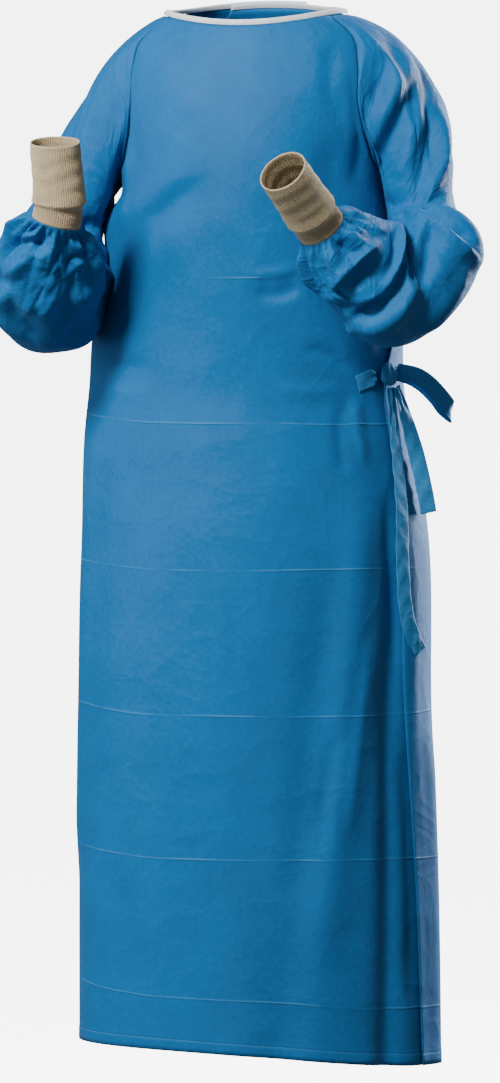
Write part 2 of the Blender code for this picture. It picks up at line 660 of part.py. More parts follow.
def strip(name, path, across, width=TIE_WIDTH):
    """A flat tie along a path of points; across is the direction of its width at each."""
    path, across = np.asarray(path, float), unit(np.asarray(across, float))
    offsets = np.array([-0.5, 0, 0.5])[None, :, None] * width
    return wall(name, path[:, None] + across[:, None] * offsets, TIE_THICKNESS, BLUE_CLOTH)


def smooth_path(points, count):
    """More points along a path, on a cubic through the given ones."""
    points = np.asarray(points, float)
    steps = np.linalg.norm(np.diff(points[:, :3], axis=0), axis=1)
    keys = np.concatenate([[0], np.cumsum(steps)])
    return along_rows(keys, points, np.linspace(0, keys[-1], count))


def tie_front():
    """The short tie sewn on the front, flat on the cloth as far as the knot."""
    degrees, height = np.linspace(53.5, 64.5, 5), np.linspace(-0.447, -0.438, 5)
    across = np.linspace(-0.5, 0.5, 3) * TIE_WIDTH
    angle = degrees[:, None] * np.ones(3)
    middle = on_body(angle, height[:, None] + across, CLOTH / 2 + TIE_THICKNESS / 2 + 0.0007)
    return wall("tie_front", middle, TIE_THICKNESS, BLUE_CLOTH)


def waist_knot():
    """The knot, a flattened lump whose corners are rounded."""
    shaped = bmesh.new()
    bmesh.ops.create_icosphere(shaped, subdivisions=3, radius=1.0)
    mesh = bpy.data.meshes.new("knot")
    shaped.to_mesh(mesh)
    shaped.free()
    points = np.array([v.co[:] for v in mesh.vertices])
    faces = np.array([p.vertices[:] for p in mesh.polygons])
    bpy.data.meshes.remove(mesh)
    centre, along, down, normal = knot_frame()
    size = np.array([0.013, 0.015, 0.0065])
    rounded = np.sign(points) * np.abs(points) ** 0.82 * size
    return solid("waist_knot", centre + rounded @ np.array([along, down, normal]), faces, BLUE_CLOTH)


def knot_frame():
    """The knot's centre, and its directions backwards round the body, down and out."""
    centre = on_body(KNOT.degrees, KNOT.height, KNOT.out)
    normal = body_normal(math.radians(KNOT.degrees), KNOT.height)
    down = unit(np.array([0.0, 0.0, -1.0]) + normal * normal[2])
    return centre, np.cross(normal, down), down, normal


def bow_loop():
    """The loop that stands out from the knot at the wearer's left and turns back on itself."""
    centre, along, down, normal = knot_frame()
    path = []
    for row in LOOP_PATH:
        path.append([*(centre + along * row.along + down * row.down + normal * row.out)])
    path = smooth_path(path, 15)
    slope = unit(np.gradient(path, axis=0))
    across = down - (slope @ down)[:, None] * slope
    return strip("bow_loop", path, across)


def tail(name, rows):
    """A hanging end: its middle line over the body, and how far its width turns off the cloth."""
    table = smooth_path([(*on_body(r.degrees, r.height, r.out), r.degrees, r.turn) for r in rows], 16)
    path, degrees, turn = table[:, :3], table[:, 3], np.radians(table[:, 4])[:, None]
    slope = unit(np.gradient(path, axis=0))
    normal = body_normal(np.radians(degrees), path[:, 2])
    normal = unit(normal - (normal * slope).sum(-1, keepdims=True) * slope)
    flat = np.cross(normal, slope)
    return strip(name, path, flat * np.cos(turn) + normal * np.sin(turn))


def clear_scene():
    for made in list(bpy.data.objects):
        bpy.data.objects.remove(made, do_unlink=True)


def main():
    clear_scene()
    front_panel()
    back_left_panel()
    back_right_panel()
    sleeve("sleeve_left", 1, LEFT_RINGS, LEFT_FOLDS, LEFT_SHOULDER)
    sleeve("sleeve_right", -1, RIGHT_RINGS, RIGHT_FOLDS, RIGHT_SHOULDER)
    cuff("cuff_left", LEFT_RINGS, LEFT_HAND_END)
    cuff("cuff_right", RIGHT_RINGS, RIGHT_HAND_END)
    neck_binding()
    neck_fastener()
    tie_front()
    waist_knot()
    bow_loop()
    tail("tail_long", LONG_TAIL)
    tail("tail_short", SHORT_TAIL)


main()
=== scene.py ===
# %% [markdown]
# A surgical gown, worn: a body that wraps round to the back, two raglan sleeves raised in front,
# knitted cuffs, a bound neckline and waist ties in a bow. The solids that were packed already have
# the garment's form, so this script dresses each of them in a fine cloth surface on the same form.

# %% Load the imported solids
import math
from collections import namedtuple

import bpy
import numpy as np
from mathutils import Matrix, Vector


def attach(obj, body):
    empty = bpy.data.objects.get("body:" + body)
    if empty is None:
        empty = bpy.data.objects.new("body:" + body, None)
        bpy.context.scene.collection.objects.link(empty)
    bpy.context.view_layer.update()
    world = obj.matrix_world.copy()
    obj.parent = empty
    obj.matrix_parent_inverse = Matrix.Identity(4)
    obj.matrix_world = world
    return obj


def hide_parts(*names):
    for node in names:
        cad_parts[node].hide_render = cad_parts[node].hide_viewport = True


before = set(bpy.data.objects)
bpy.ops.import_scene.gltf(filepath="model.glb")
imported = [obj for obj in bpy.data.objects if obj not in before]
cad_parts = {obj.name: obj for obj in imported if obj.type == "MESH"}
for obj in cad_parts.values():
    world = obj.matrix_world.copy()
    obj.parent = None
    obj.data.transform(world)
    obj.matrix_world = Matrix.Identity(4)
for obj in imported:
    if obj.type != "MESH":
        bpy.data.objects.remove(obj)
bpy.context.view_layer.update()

# %% [markdown]
# The camera stands about seven metres off, a little to the wearer's left, so the gown is nearly
# free of perspective. A long lens far away gives flatter proportions than a wide one close by.

# %% Camera
CAMERA_TURN, CAMERA_LIFT = math.radians(12.0), math.radians(2.5)
CAMERA_DISTANCE = 7.0
METRES_A_PIXEL = 0.0012
PICTURE_WIDTH, PICTURE_HEIGHT = 500, 1083
RIGHTWARD = np.array([math.cos(CAMERA_TURN), math.sin(CAMERA_TURN), 0.0])
TO_CAMERA = np.array(
    [
        math.sin(CAMERA_TURN) * math.cos(CAMERA_LIFT),
        -math.cos(CAMERA_TURN) * math.cos(CAMERA_LIFT),
        math.sin(CAMERA_LIFT),
    ]
)
UPWARD = np.cross(TO_CAMERA, RIGHTWARD)
AIM = RIGHTWARD * -6 * METRES_A_PIXEL - np.array([0, 0, 531.5 * METRES_A_PIXEL])


def add_camera():
    """A lens whose field is the picture's height at the gown's distance."""
    lens = bpy.data.cameras.new("camera")
    lens.sensor_fit = "VERTICAL"
    lens.sensor_height = 24
    lens.lens = 24 * CAMERA_DISTANCE / (PICTURE_HEIGHT * METRES_A_PIXEL)
    camera = bpy.data.objects.new("camera", lens)
    bpy.context.scene.collection.objects.link(camera)
    camera.location = Vector(AIM + TO_CAMERA * CAMERA_DISTANCE)
    camera.rotation_mode = "QUATERNION"
    camera.rotation_quaternion = Vector(-TO_CAMERA).to_track_quat("-Z", "Y")
    bpy.context.scene.camera = camera
    return camera


def in_picture(points):
    """Where points show in the picture, in its pixels: sideways over depth, and height over depth."""
    away = points - AIM
    near = CAMERA_DISTANCE / (CAMERA_DISTANCE - away @ TO_CAMERA) / METRES_A_PIXEL
    across = PICTURE_WIDTH / 2 + (away @ RIGHTWARD) * near
    down = PICTURE_HEIGHT / 2 - (away @ UPWARD) * near
    return np.stack([across, down], axis=-1)


print("camera lens in mm:", round(add_camera().data.lens, 1))

# %% [markdown]
# Every surface here is a grid of points worked out from a few rows of sizes. A smooth curve through
# the rows fills in the rest, so a size is changed in one place and the whole cloth follows.

# %% Small helpers


def unit(vectors):
    """Vectors over their own length."""
    return vectors / np.maximum(np.linalg.norm(vectors, axis=-1, keepdims=True), 1e-12)


def smoothstep(value):
    """An S from 0 to 1: three squares less two cubes."""
    value = np.clip(value, 0.0, 1.0)
    return value * value * (3.0 - 2.0 * value)


def along_rows(keys, values, at):
    """Values at other keys, on a cubic through the rows whose slopes are those of its chords."""
    keys = np.asarray(keys, float)
    values = np.asarray(values, float).reshape(len(keys), -1)
    order = np.argsort(keys)
    keys, values = keys[order], values[order]
    slopes = np.gradient(values, keys, axis=0)
    at = np.asarray(at, float)
    place = np.clip(np.searchsorted(keys, at) - 1, 0, len(keys) - 2)
    step = keys[place + 1] - keys[place]
    t = ((np.clip(at, keys[0], keys[-1]) - keys[place]) / step)[..., None]
    step = step[..., None]
    low, high = values[place], values[place + 1]
    return (
        (2 * t**3 - 3 * t**2 + 1) * low
        + (t**3 - 2 * t**2 + t) * step * slopes[place]
        + (3 * t**2 - 2 * t**3) * high
        + (t**3 - t**2) * step * slopes[place + 1]
    )


def smooth_path(points, count):
    """More points along a path, on a cubic through the given ones."""
    points = np.asarray(points, float)
    steps = np.linalg.norm(np.diff(points[:, :3], axis=0), axis=1)
    keys = np.concatenate([[0], np.cumsum(steps)])
    return along_rows(keys, points, np.linspace(0, keys[-1], count))


def grid_normals(points, around):
    """The direction away from the cloth at each grid point, from its neighbours."""
    down = np.gradient(points, axis=0)
    if around:
        across = np.roll(points, -1, axis=1) - np.roll(points, 1, axis=1)
    else:
        across = np.gradient(points, axis=1)
    return unit(np.cross(down, across))


# %% [markdown]
# The body is an oval at each height, and the oval's width, front depth and back depth come from a
# table of heights from neck to hem. A body could also be sculpted, but a table keeps every panel
# on one form, so the front and the two back panels meet at their seams.

# %% The body's form
LENGTH = 1.248
NECK_HEIGHT = -0.007
ARMHOLE_DEPTH = 0.215
HEM_TILT = 0.050
Section = namedtuple("Section", "height half_width front back shift drop rise")
BODY = [
    Section(-0.007, 0.111, 0.086, 0.078, 0.000, 0.017, 0.012),
    Section(-0.030, 0.150, 0.096, 0.090, 0.000, 0.016, 0.010),
    Section(-0.065, 0.172, 0.107, 0.103, 0.000, 0.012, 0.006),
    Section(-0.120, 0.172, 0.122, 0.118, 0.000, 0.006, 0.002),
    Section(-0.215, 0.160, 0.135, 0.126, -0.001, 0.000, 0.000),
    Section(-0.265, 0.168, 0.136, 0.125, -0.002, 0.000, 0.000),
    Section(-0.330, 0.174, 0.134, 0.122, -0.005, 0.000, 0.000),
    Section(-0.400, 0.182, 0.131, 0.119, -0.009, 0.000, 0.000),
    Section(-0.450, 0.184, 0.130, 0.119, -0.010, 0.000, 0.000),
    Section(-0.530, 0.196, 0.138, 0.128, -0.007, 0.000, 0.000),
    Section(-0.610, 0.206, 0.146, 0.136, -0.004, 0.000, 0.000),
    Section(-0.830, 0.211, 0.156, 0.146, -0.003, 0.000, 0.000),
    Section(-1.070, 0.215, 0.163, 0.153, 0.000, -0.004, 0.000),
    Section(-1.248, 0.216, 0.166, 0.156, 0.001, -0.012, 0.002),
]


def plain_body(angle, height):
    """Sideways is half the width times the sine, forwards is the depth times the cosine."""
    angle, height = np.broadcast_arrays(np.asarray(angle, float), np.asarray(height, float))
    columns = along_rows([s.height for s in BODY], [s[1:] for s in BODY], height)
    half_width, front, back, shift, drop, rise = np.moveaxis(columns, -1, 0)
    facing = np.cos(angle)
    depth = np.where(facing > 0, front, back)
    lift = np.where(facing > 0, -drop, rise) * facing**2
    x = shift + half_width * np.sin(angle)
    tilt = HEM_TILT * x * smoothstep((-height - 0.95) / (LENGTH - 0.95))
    return np.stack([x, -depth * facing, height + lift - tilt], axis=-1)


def body_normal(angle, height):
    """Outwards, square to the slopes round the plain body and down it."""
    turn, drop = 1e-3, 1e-4
    across = plain_body(angle + turn, height) - plain_body(angle - turn, height)
    down = plain_body(angle, height - drop) - plain_body(angle, height + drop)
    return unit(np.cross(down, across))


print("widest half of the body in mm:", round(1000 * max(s.half_width for s in BODY)))

# %% [markdown]
# Soft folds hang down the skirt and the back. Each is a bell across its width, whose middle leans a
# little as it goes down, and no two are alike in length, depth or spacing.

# %% Hanging folds
BodyFold = namedtuple("BodyFold", "top bottom top_degrees bottom_degrees width depth")
BODY_FOLDS = [
    BodyFold(-0.52, -1.15, 49, 29, 0.026, 0.007),
    BodyFold(-0.60, -1.25, 38, 16, 0.030, -0.005),
    BodyFold(-0.62, -1.30, 62, 56, 0.022, -0.010),
    BodyFold(-0.80, -1.30, 84, 88, 0.026, 0.006),
    BodyFold(-0.47, -1.05, -62, -74, 0.030, 0.005),
    BodyFold(-0.50, -1.30, 118, 112, 0.034, -0.007),
    BodyFold(-0.46, -1.30, 140, 146, 0.034, 0.007),
    BodyFold(-0.52, -1.30, 170, 168, 0.034, -0.007),
    BodyFold(-0.46, -1.20, 196, 200, 0.034, 0.007),
    BodyFold(-0.50, -1.30, 226, 232, 0.034, -0.007),
    BodyFold(-0.10, -0.34, -48, -74, 0.026, -0.006),
    BodyFold(-0.14, -0.40, 40, 58, 0.024, -0.005),
    BodyFold(-0.06, -0.40, 160, 164, 0.028, -0.005),
    BodyFold(-0.06, -0.40, 208, 200, 0.028, -0.005),
]


def body_fold_height(angle, height):
    """The sum of the folds: depth times a bell of the way round, faded at both ends."""
    total = np.zeros(np.broadcast(angle, height).shape)
    degrees = np.degrees(angle) % 360
    reach = along_rows([s.height for s in BODY], [s.half_width for s in BODY], height)[..., 0]
    for fold in BODY_FOLDS:
        share = np.clip((fold.top - height) / (fold.top - fold.bottom), 0, 1)
        centre = fold.top_degrees + share * (fold.bottom_degrees - fold.top_degrees)
        away = (degrees - centre + 180) % 360 - 180
        bell = np.exp(-((np.radians(away) * reach / fold.width) ** 2))
        ends = smoothstep(share * 4.0) * smoothstep((1.02 - share) * 6.0)
        ends = np.where(fold.bottom < -LENGTH, smoothstep(share * 4.0), ends)
        total = total + fold.depth * bell * ends
    return total


def body(angle, height, out=0.0, folded=1.0):
    """The plain body moved out along its normal by the folds and by a distance."""
    out = out + body_fold_height(angle, height) * folded
    return plain_body(angle, height) + body_normal(angle, height) * np.asarray(out)[..., None]


print("hanging folds:", len(BODY_FOLDS))

# %% [markdown]
# Sharper creases are drawn as lines on the cloth. A crease runs along a smooth line through
# a few places. Across the line it is a tent, like bent paper, as far as it is crisp, and a round
# bell as far as it is not, and it is steeper on one side where it leans. What the camera sees is
# drawn in the picture's pixels, and the hidden sides in degrees round and metres down, so that the
# cloth is alike all round.

# %% Creases
Crease = namedtuple("Crease", "path width depth crisp lean")


def beside_line(flat, line):
    """How far places lie beside a line, to its left positive, and how far along it, from 0 to 1."""
    start, run = line[:-1], np.diff(line, axis=0)
    length = np.linalg.norm(run, axis=1)
    away = flat[:, None] - start
    share = np.clip((away * run).sum(-1) / length**2, 0, 1)
    gap = np.linalg.norm(away - share[..., None] * run, axis=-1)
    side = np.sign(run[:, 0] * away[..., 1] - run[:, 1] * away[..., 0])
    best = gap.argmin(axis=1)
    row = np.arange(len(flat))
    reached = np.concatenate([[0], np.cumsum(length)])
    along = (reached[best] + share[row, best] * length[best]) / reached[-1]
    return gap[row, best] * side[row, best], along


def crease_height(flat, creases, scale=1.0):
    """Each crease's depth times a mix of a tent and a bell of the distance, faded at its ends."""
    shape = flat.shape[:-1]
    flat = flat.reshape(-1, 2)
    total = np.zeros(len(flat))
    for crease in creases:
        line = smooth_path(np.array(crease.path, float) * [scale, scale], 18)
        reach = crease.width * 3
        low, high = line.min(0) - reach, line.max(0) + reach
        near = ((flat > low) & (flat < high)).all(1)
        if not near.any():
            continue
        across, along = beside_line(flat[near], line)
        wide = crease.width * np.where(across > 0, 1 - crease.lean, 1 + crease.lean)
        tent = np.clip(1 - np.abs(across / wide) / 1.9, 0, 1) ** 1.25
        bell = crease.crisp * tent + (1 - crease.crisp) * np.exp(-((across / wide) ** 2))
        ends = smoothstep(along * 3.5) * smoothstep((1 - along) * 3.5)
        total[near] += crease.depth * bell * ends
    return total.reshape(shape)


def drawn_height(points, normals, creases):
    """Creases drawn on the picture, only where the cloth faces the camera."""
    facing = smoothstep((normals @ TO_CAMERA + 0.05) / 0.35)
    return crease_height(in_picture(points), creases) * facing


# %% [markdown]
# Spunbond fabric is pressed from fine threads and welded at thousands of points, so close up it has
# clouds of thicker and thinner threads and a grid of tiny dimples. All its colour and relief come
# from node groups that several materials share. The groups read the cloth's own flat map, in
# metres, so the pattern keeps its real size and follows every fold.

# %% Node helpers


def new_group(name, inputs, outputs):
    """A shader group with named sockets, and its two end nodes."""
    group = bpy.data.node_groups.new(name, "ShaderNodeTree")
    for label, kind, value in inputs:
        socket = group.interface.new_socket(label, in_out="INPUT", socket_type=kind)
        if value is not None:
            socket.default_value = value
    for label, kind in outputs:
        group.interface.new_socket(label, in_out="OUTPUT", socket_type=kind)
    return group, group.nodes.new("NodeGroupInput"), group.nodes.new("NodeGroupOutput")


def wire(tree, kind, links, **settings):
    """One node: its settings, then each input linked to a socket or set to a number."""
    node = tree.nodes.new(kind)
    for key, value in settings.items():
        setattr(node, key, value)
    for key, value in links.items():
        if isinstance(value, bpy.types.NodeSocket):
            tree.links.new(value, node.inputs[key])
        else:
            node.inputs[key].default_value = value
    return node


def maths(tree, operation, *values):
    """A Math node's result."""
    return wire(tree, "ShaderNodeMath", dict(enumerate(values)), operation=operation).outputs[0]


def bell_of(tree, distance, width):
    """e to minus the square of distance over width."""
    share = maths(tree, "DIVIDE", distance, width)
    return maths(tree, "EXPONENT", maths(tree, "MULTIPLY", maths(tree, "MULTIPLY", share, share), -1.0))


def remap(tree, value, low, high, to_low, to_high):
    """A value carried from one range to another, held at its ends."""
    links = {"Value": value, "From Min": low, "From Max": high, "To Min": to_low, "To Max": to_high}
    return wire(tree, "ShaderNodeMapRange", links, clamp=True).outputs["Result"]


def mix_colour(tree, share, first, second):
    """Two colours mixed by a share."""
    node = wire(tree, "ShaderNodeMix", {}, data_type="RGBA")
    for socket, value in ((node.inputs[0], share), (node.inputs[6], first), (node.inputs[7], second)):
        if isinstance(value, bpy.types.NodeSocket):
            tree.links.new(value, socket)
        else:
            socket.default_value = value
    return node.outputs[2]


# %% [markdown]
# The fabric is spunbond: long fibres laid crosswise and pressed together at small square welds.
# Both are far finer than the mesh, so they are relief and a slight change of shade, made from the
# sheet's own flat map, which keeps them in line with the cut. The crumpling of a sheet that was
# packed and worn is a second group, made the same way.

# %% The fabric's threads and welds


def make_fabric_group():
    """Clouds and crossing threads tint the cloth; threads and a grid of welds make its relief."""
    group, given, result = new_group(
        "pressed_threads",
        [
            ("Map", "NodeSocketVector", None),
            ("Colour", "NodeSocketColor", (0.03, 0.18, 0.40, 1)),
            ("Weld pitch", "NodeSocketFloat", 0.0016),
        ],
        [("Colour", "NodeSocketColor"), ("Height", "NodeSocketFloat"), ("Cloud", "NodeSocketFloat")],
    )
    place = given.outputs["Map"]
    cloud = wire(group, "ShaderNodeTexNoise", {"Vector": place, "Scale": 190.0, "Detail": 4.0})
    patch = wire(group, "ShaderNodeTexNoise", {"Vector": place, "Scale": 14.0, "Detail": 3.0})
    thread = []
    for turn in (0.5, -0.65):
        turned = wire(
            group,
            "ShaderNodeMapping",
            {"Vector": place, "Rotation": (0, 0, turn), "Scale": (160, 1500, 1)},
        )
        thread.append(
            wire(group, "ShaderNodeTexNoise", {"Vector": turned.outputs[0], "Scale": 1.0}).outputs[0]
        )
    threads = maths(group, "ADD", thread[0], thread[1])
    pitch = maths(group, "DIVIDE", 1.0, given.outputs["Weld pitch"])
    turned = wire(group, "ShaderNodeMapping", {"Vector": place, "Rotation": (0, 0, 0.785)})
    weld = wire(
        group,
        "ShaderNodeTexVoronoi",
        {"Vector": turned.outputs[0], "Scale": pitch, "Randomness": 0.0},
        voronoi_dimensions="2D",
    )
    dimple = remap(group, weld.outputs["Distance"], 0.12, 0.34, 1.0, 0.0)
    light = maths(group, "ADD", remap(group, cloud.outputs[0], 0.3, 0.7, -0.10, 0.10),
                  remap(group, patch.outputs[0], 0.3, 0.7, -0.07, 0.07))
    light = maths(group, "ADD", light, remap(group, threads, 0.7, 1.3, -0.05, 0.05))
    light = maths(group, "ADD", light, maths(group, "MULTIPLY", dimple, -0.06))
    tinted = wire(
        group,
        "ShaderNodeHueSaturation",
        {"Color": given.outputs["Colour"], "Value": maths(group, "ADD", 1.0, light)},
    )
    height = maths(group, "ADD", maths(group, "MULTIPLY", threads, 0.00004),
                   maths(group, "MULTIPLY", dimple, -0.00005))
    group.links.new(tinted.outputs[0], result.inputs["Colour"])
    group.links.new(height, result.inputs["Height"])
    group.links.new(cloud.outputs[0], result.inputs["Cloud"])
    return group


def make_crumple_group():
    """Fine crumpling: the distance to the edges of two warped cell patterns, as shallow facets."""
    group, given, result = new_group(
        "crumpling",
        [
            ("Map", "NodeSocketVector", None),
            ("Cell", "NodeSocketFloat", 0.05),
            ("Depth", "NodeSocketFloat", 0.0006),
        ],
        [("Height", "NodeSocketFloat")],
    )
    place = given.outputs["Map"]
    bend = wire(group, "ShaderNodeTexNoise", {"Vector": place, "Scale": 9.0, "Detail": 2.0})
    moved = wire(
        group,
        "ShaderNodeVectorMath",
        {0: bend.outputs["Color"], 1: (0.09, 0.09, 0.0), 2: place},
        operation="MULTIPLY_ADD",
    ).outputs[0]
    total = None
    for part, depth in ((1.0, 1.0), (0.42, 0.40)):
        scale = maths(group, "DIVIDE", 1.0, maths(group, "MULTIPLY", given.outputs["Cell"], part))
        cells = wire(
            group,
            "ShaderNodeTexVoronoi",
            {"Vector": moved, "Scale": scale},
            voronoi_dimensions="2D",
            feature="DISTANCE_TO_EDGE",
        )
        slope = remap(group, cells.outputs["Distance"], 0.0, 0.45, 1.0, 0.0)
        slope = maths(group, "MULTIPLY", maths(group, "MULTIPLY", slope, slope), depth)
        total = slope if total is None else maths(group, "ADD", total, slope)
    group.links.new(maths(group, "MULTIPLY", total, given.outputs["Depth"]), result.inputs["Height"])
    return group


FABRIC, CRUMPLE = make_fabric_group(), make_crumple_group()
print("made the groups", FABRIC.name, "and", CRUMPLE.name)

# %% [markdown]
# The gown was folded flat in its pack, and the folds stay in it as fine level lines about 172 mm
# apart. They are too sharp for the mesh, so they are drawn in the relief: a thin bell round each
# line, broken by noise so that it fades in and out. On the body each line is also painted a lighter
# blue, a painted highlight where light catches the ridge.

# %% Packing lines and stitches
PACKING_PITCH, PACKING_FIRST = 0.1716, -0.494


def make_packing_group():
    """A thin ridge wherever the height, less a slow bend, is a whole number of pitches down."""
    group, given, result = new_group(
        "packing_lines",
        [("Map", "NodeSocketVector", None), ("Depth", "NodeSocketFloat", 0.0006)],
        [("Height", "NodeSocketFloat"), ("Mask", "NodeSocketFloat")],
    )
    place = wire(group, "ShaderNodeSeparateXYZ", {0: given.outputs["Map"]})
    round_body, down = place.outputs[0], place.outputs[1]
    bend = wire(group, "ShaderNodeTexNoise", {"Vector": given.outputs["Map"], "Scale": 5.0})
    right_front = remap(group, round_body, -0.29, -0.10, 1.0, 0.0)
    right_back = remap(group, round_body, 0.62, 0.86, 0.0, 1.0)
    rise = maths(group, "MULTIPLY", maths(group, "MAXIMUM", right_front, right_back), 0.012)
    level = maths(group, "SUBTRACT", maths(group, "SUBTRACT", down, rise), PACKING_FIRST)
    level = maths(group, "ADD", level, remap(group, bend.outputs[0], 0.3, 0.7, -0.0015, 0.0015))
    near = maths(group, "WRAP", level, -PACKING_PITCH / 2, PACKING_PITCH / 2)
    fade = wire(group, "ShaderNodeTexNoise", {"Vector": given.outputs["Map"], "Scale": 11.0})
    fade = remap(group, fade.outputs[0], 0.38, 0.60, 0.10, 1.0)
    chest = maths(group, "MULTIPLY", bell_of(group, maths(group, "SUBTRACT", round_body, 0.02), 0.03),
                  remap(group, down, -0.26, -0.24, 1.0, 0.0))
    fade = maths(group, "MULTIPLY", fade,
                 maths(group, "MAXIMUM", remap(group, down, -0.40, -0.36, 1.0, 0.0), chest))
    line = maths(group, "MULTIPLY", bell_of(group, near, 0.0011), fade)
    wide = maths(group, "MULTIPLY", bell_of(group, near, 0.010), maths(group, "MULTIPLY", fade, 0.5))
    height = maths(group, "MULTIPLY", maths(group, "ADD", line, wide), given.outputs["Depth"])
    group.links.new(height, result.inputs["Height"])
    group.links.new(line, result.inputs["Mask"])
    return group


def make_stitch_group():
    """A row of sunk stitches: a bell across the row times a wave along it."""
    group, given, result = new_group(
        "stitch_row",
        [
            ("Across", "NodeSocketFloat", 0.0),
            ("Along", "NodeSocketFloat", 0.0),
            ("Pitch", "NodeSocketFloat", 0.0032),
        ],
        [("Height", "NodeSocketFloat"), ("Mask", "NodeSocketFloat")],
    )
    turns = maths(group, "DIVIDE", given.outputs["Along"], given.outputs["Pitch"])
    wave = maths(group, "PINGPONG", turns, 0.5)
    dash = remap(group, wave, 0.08, 0.16, 0.0, 1.0)
    row = bell_of(group, given.outputs["Across"], 0.0005)
    groove = bell_of(group, given.outputs["Across"], 0.0013)
    mask = maths(group, "MULTIPLY", row, dash)
    height = maths(group, "SUBTRACT", maths(group, "MULTIPLY", mask, 0.00030),
                   maths(group, "MULTIPLY", groove, 0.00040))
    group.links.new(height, result.inputs["Height"])
    group.links.new(mask, result.inputs["Mask"])
    return group


PACKING, STITCHES = make_packing_group(), make_stitch_group()
print("packing lines every", PACKING_PITCH, "m")

# %% [markdown]
# The blue is a matte plastic fabric: rough, with a soft sheen where light grazes it. The body, the
# sleeves and the ties each get their own material from the same groups, because only the body has
# packing lines and a hem, and the ties' blue is painted lighter, as painted light for the light
# that falls on them.

# %% Blue fabric
BLUE = (0.005, 0.124, 0.345, 1)
# The ties' lighter blue is painted light: the ties are the body's fabric, painted lighter for the light
# that falls on them.
TIE_PAINTED_LIGHT_BLUE = (0.030, 0.215, 0.480, 1)


def start_material(name, roughness, sheen, tint):
    """A new material with its shader and the cloth's own flat map."""
    material = bpy.data.materials.new(name)
    material.use_nodes = True
    tree = material.node_tree
    shader = tree.nodes["Principled BSDF"]
    shader.inputs["Roughness"].default_value = roughness
    shader.inputs["Sheen Weight"].default_value = sheen
    shader.inputs["Sheen Roughness"].default_value = 0.45
    shader.inputs["Sheen Tint"].default_value = tint
    shader.inputs["Specular IOR Level"].default_value = 0.22
    flat = wire(tree, "ShaderNodeUVMap", {}, uv_map="cut").outputs[0]
    return material, tree, shader, flat


def place_group(tree, group, links):
    """The group placed in a material, with its inputs linked or set."""
    node = tree.nodes.new("ShaderNodeGroup")
    node.node_tree = group
    for key, value in links.items():
        if isinstance(value, bpy.types.NodeSocket):
            tree.links.new(value, node.inputs[key])
        else:
            node.inputs[key].default_value = value
    return node


def finish_relief(tree, shader, height, strength=1.0):
    """The summed heights, in metres, feed one bump."""
    bump = wire(tree, "ShaderNodeBump", {"Height": height, "Strength": strength, "Distance": 1.0})
    tree.links.new(bump.outputs[0], shader.inputs["Normal"])


def blue_fabric(name, cell, depth, packing=0.0, hem=None, tint=BLUE):
    """Threads, crumpling and, on the body, packing lines with a painted highlight, and the hem's
    stitches.
    """
    material, tree, shader, flat = start_material(name, 0.58, 0.06, (0.55, 0.78, 1.0, 1))
    fabric = place_group(tree, FABRIC, {"Map": flat, "Colour": tint})
    crumple = place_group(tree, CRUMPLE, {"Map": flat, "Cell": cell, "Depth": depth})
    height = maths(tree, "ADD", fabric.outputs["Height"], crumple.outputs["Height"])
    colour = fabric.outputs["Colour"]
    if packing:
        lines = place_group(tree, PACKING, {"Map": flat, "Depth": packing})
        height = maths(tree, "ADD", height, lines.outputs["Height"])
        # Painted highlight: a lighter blue along each packing line, where light would catch its ridge.
        painted_line_highlight = maths(tree, "MULTIPLY", lines.outputs["Mask"], 0.45)
        colour = mix_colour(tree, painted_line_highlight, colour, (0.06, 0.27, 0.52, 1))
    if hem is not None:
        place = wire(tree, "ShaderNodeSeparateXYZ", {0: flat})
        across = maths(tree, "SUBTRACT", place.outputs[1], hem)
        row = place_group(tree, STITCHES, {"Across": across, "Along": place.outputs[0]})
        height = maths(tree, "ADD", height, row.outputs["Height"])
        colour = mix_colour(tree, row.outputs["Mask"], colour, (0.05, 0.22, 0.46, 1))
    tree.links.new(colour, shader.inputs["Base Color"])
    rough = remap(tree, fabric.outputs["Cloud"], 0.3, 0.7, 0.58, 0.74)
    tree.links.new(rough, shader.inputs["Roughness"])
    finish_relief(tree, shader, height)
    return material


BODY_BLUE = blue_fabric("body_fabric", 0.075, 0.00045, packing=0.0007, hem=-LENGTH + 0.014)
SLEEVE_BLUE = blue_fabric("sleeve_fabric", 0.042, 0.0009)
TIE_BLUE = blue_fabric("tie_fabric_painted_lighter", 0.030, 0.0004, tint=TIE_PAINTED_LIGHT_BLUE)
print("blue materials:", BODY_BLUE.name, SLEEVE_BLUE.name, TIE_BLUE.name)

# %% [markdown]
# The cuffs are a cream rib knit. The ribs themselves are in the mesh, and the small stitches along
# each rib are relief: a wave along the rib, bent to a V by the place across it. The same wave paints
# shade between the stitches, and the cuff's end by the sleeve is painted darker as painted shade from
# the sleeve. The binding is a folded white tape with a row of stitches, and the neck pad is a bed of
# small hooks.

# %% Knit, tape and hooks
RIBS = 64


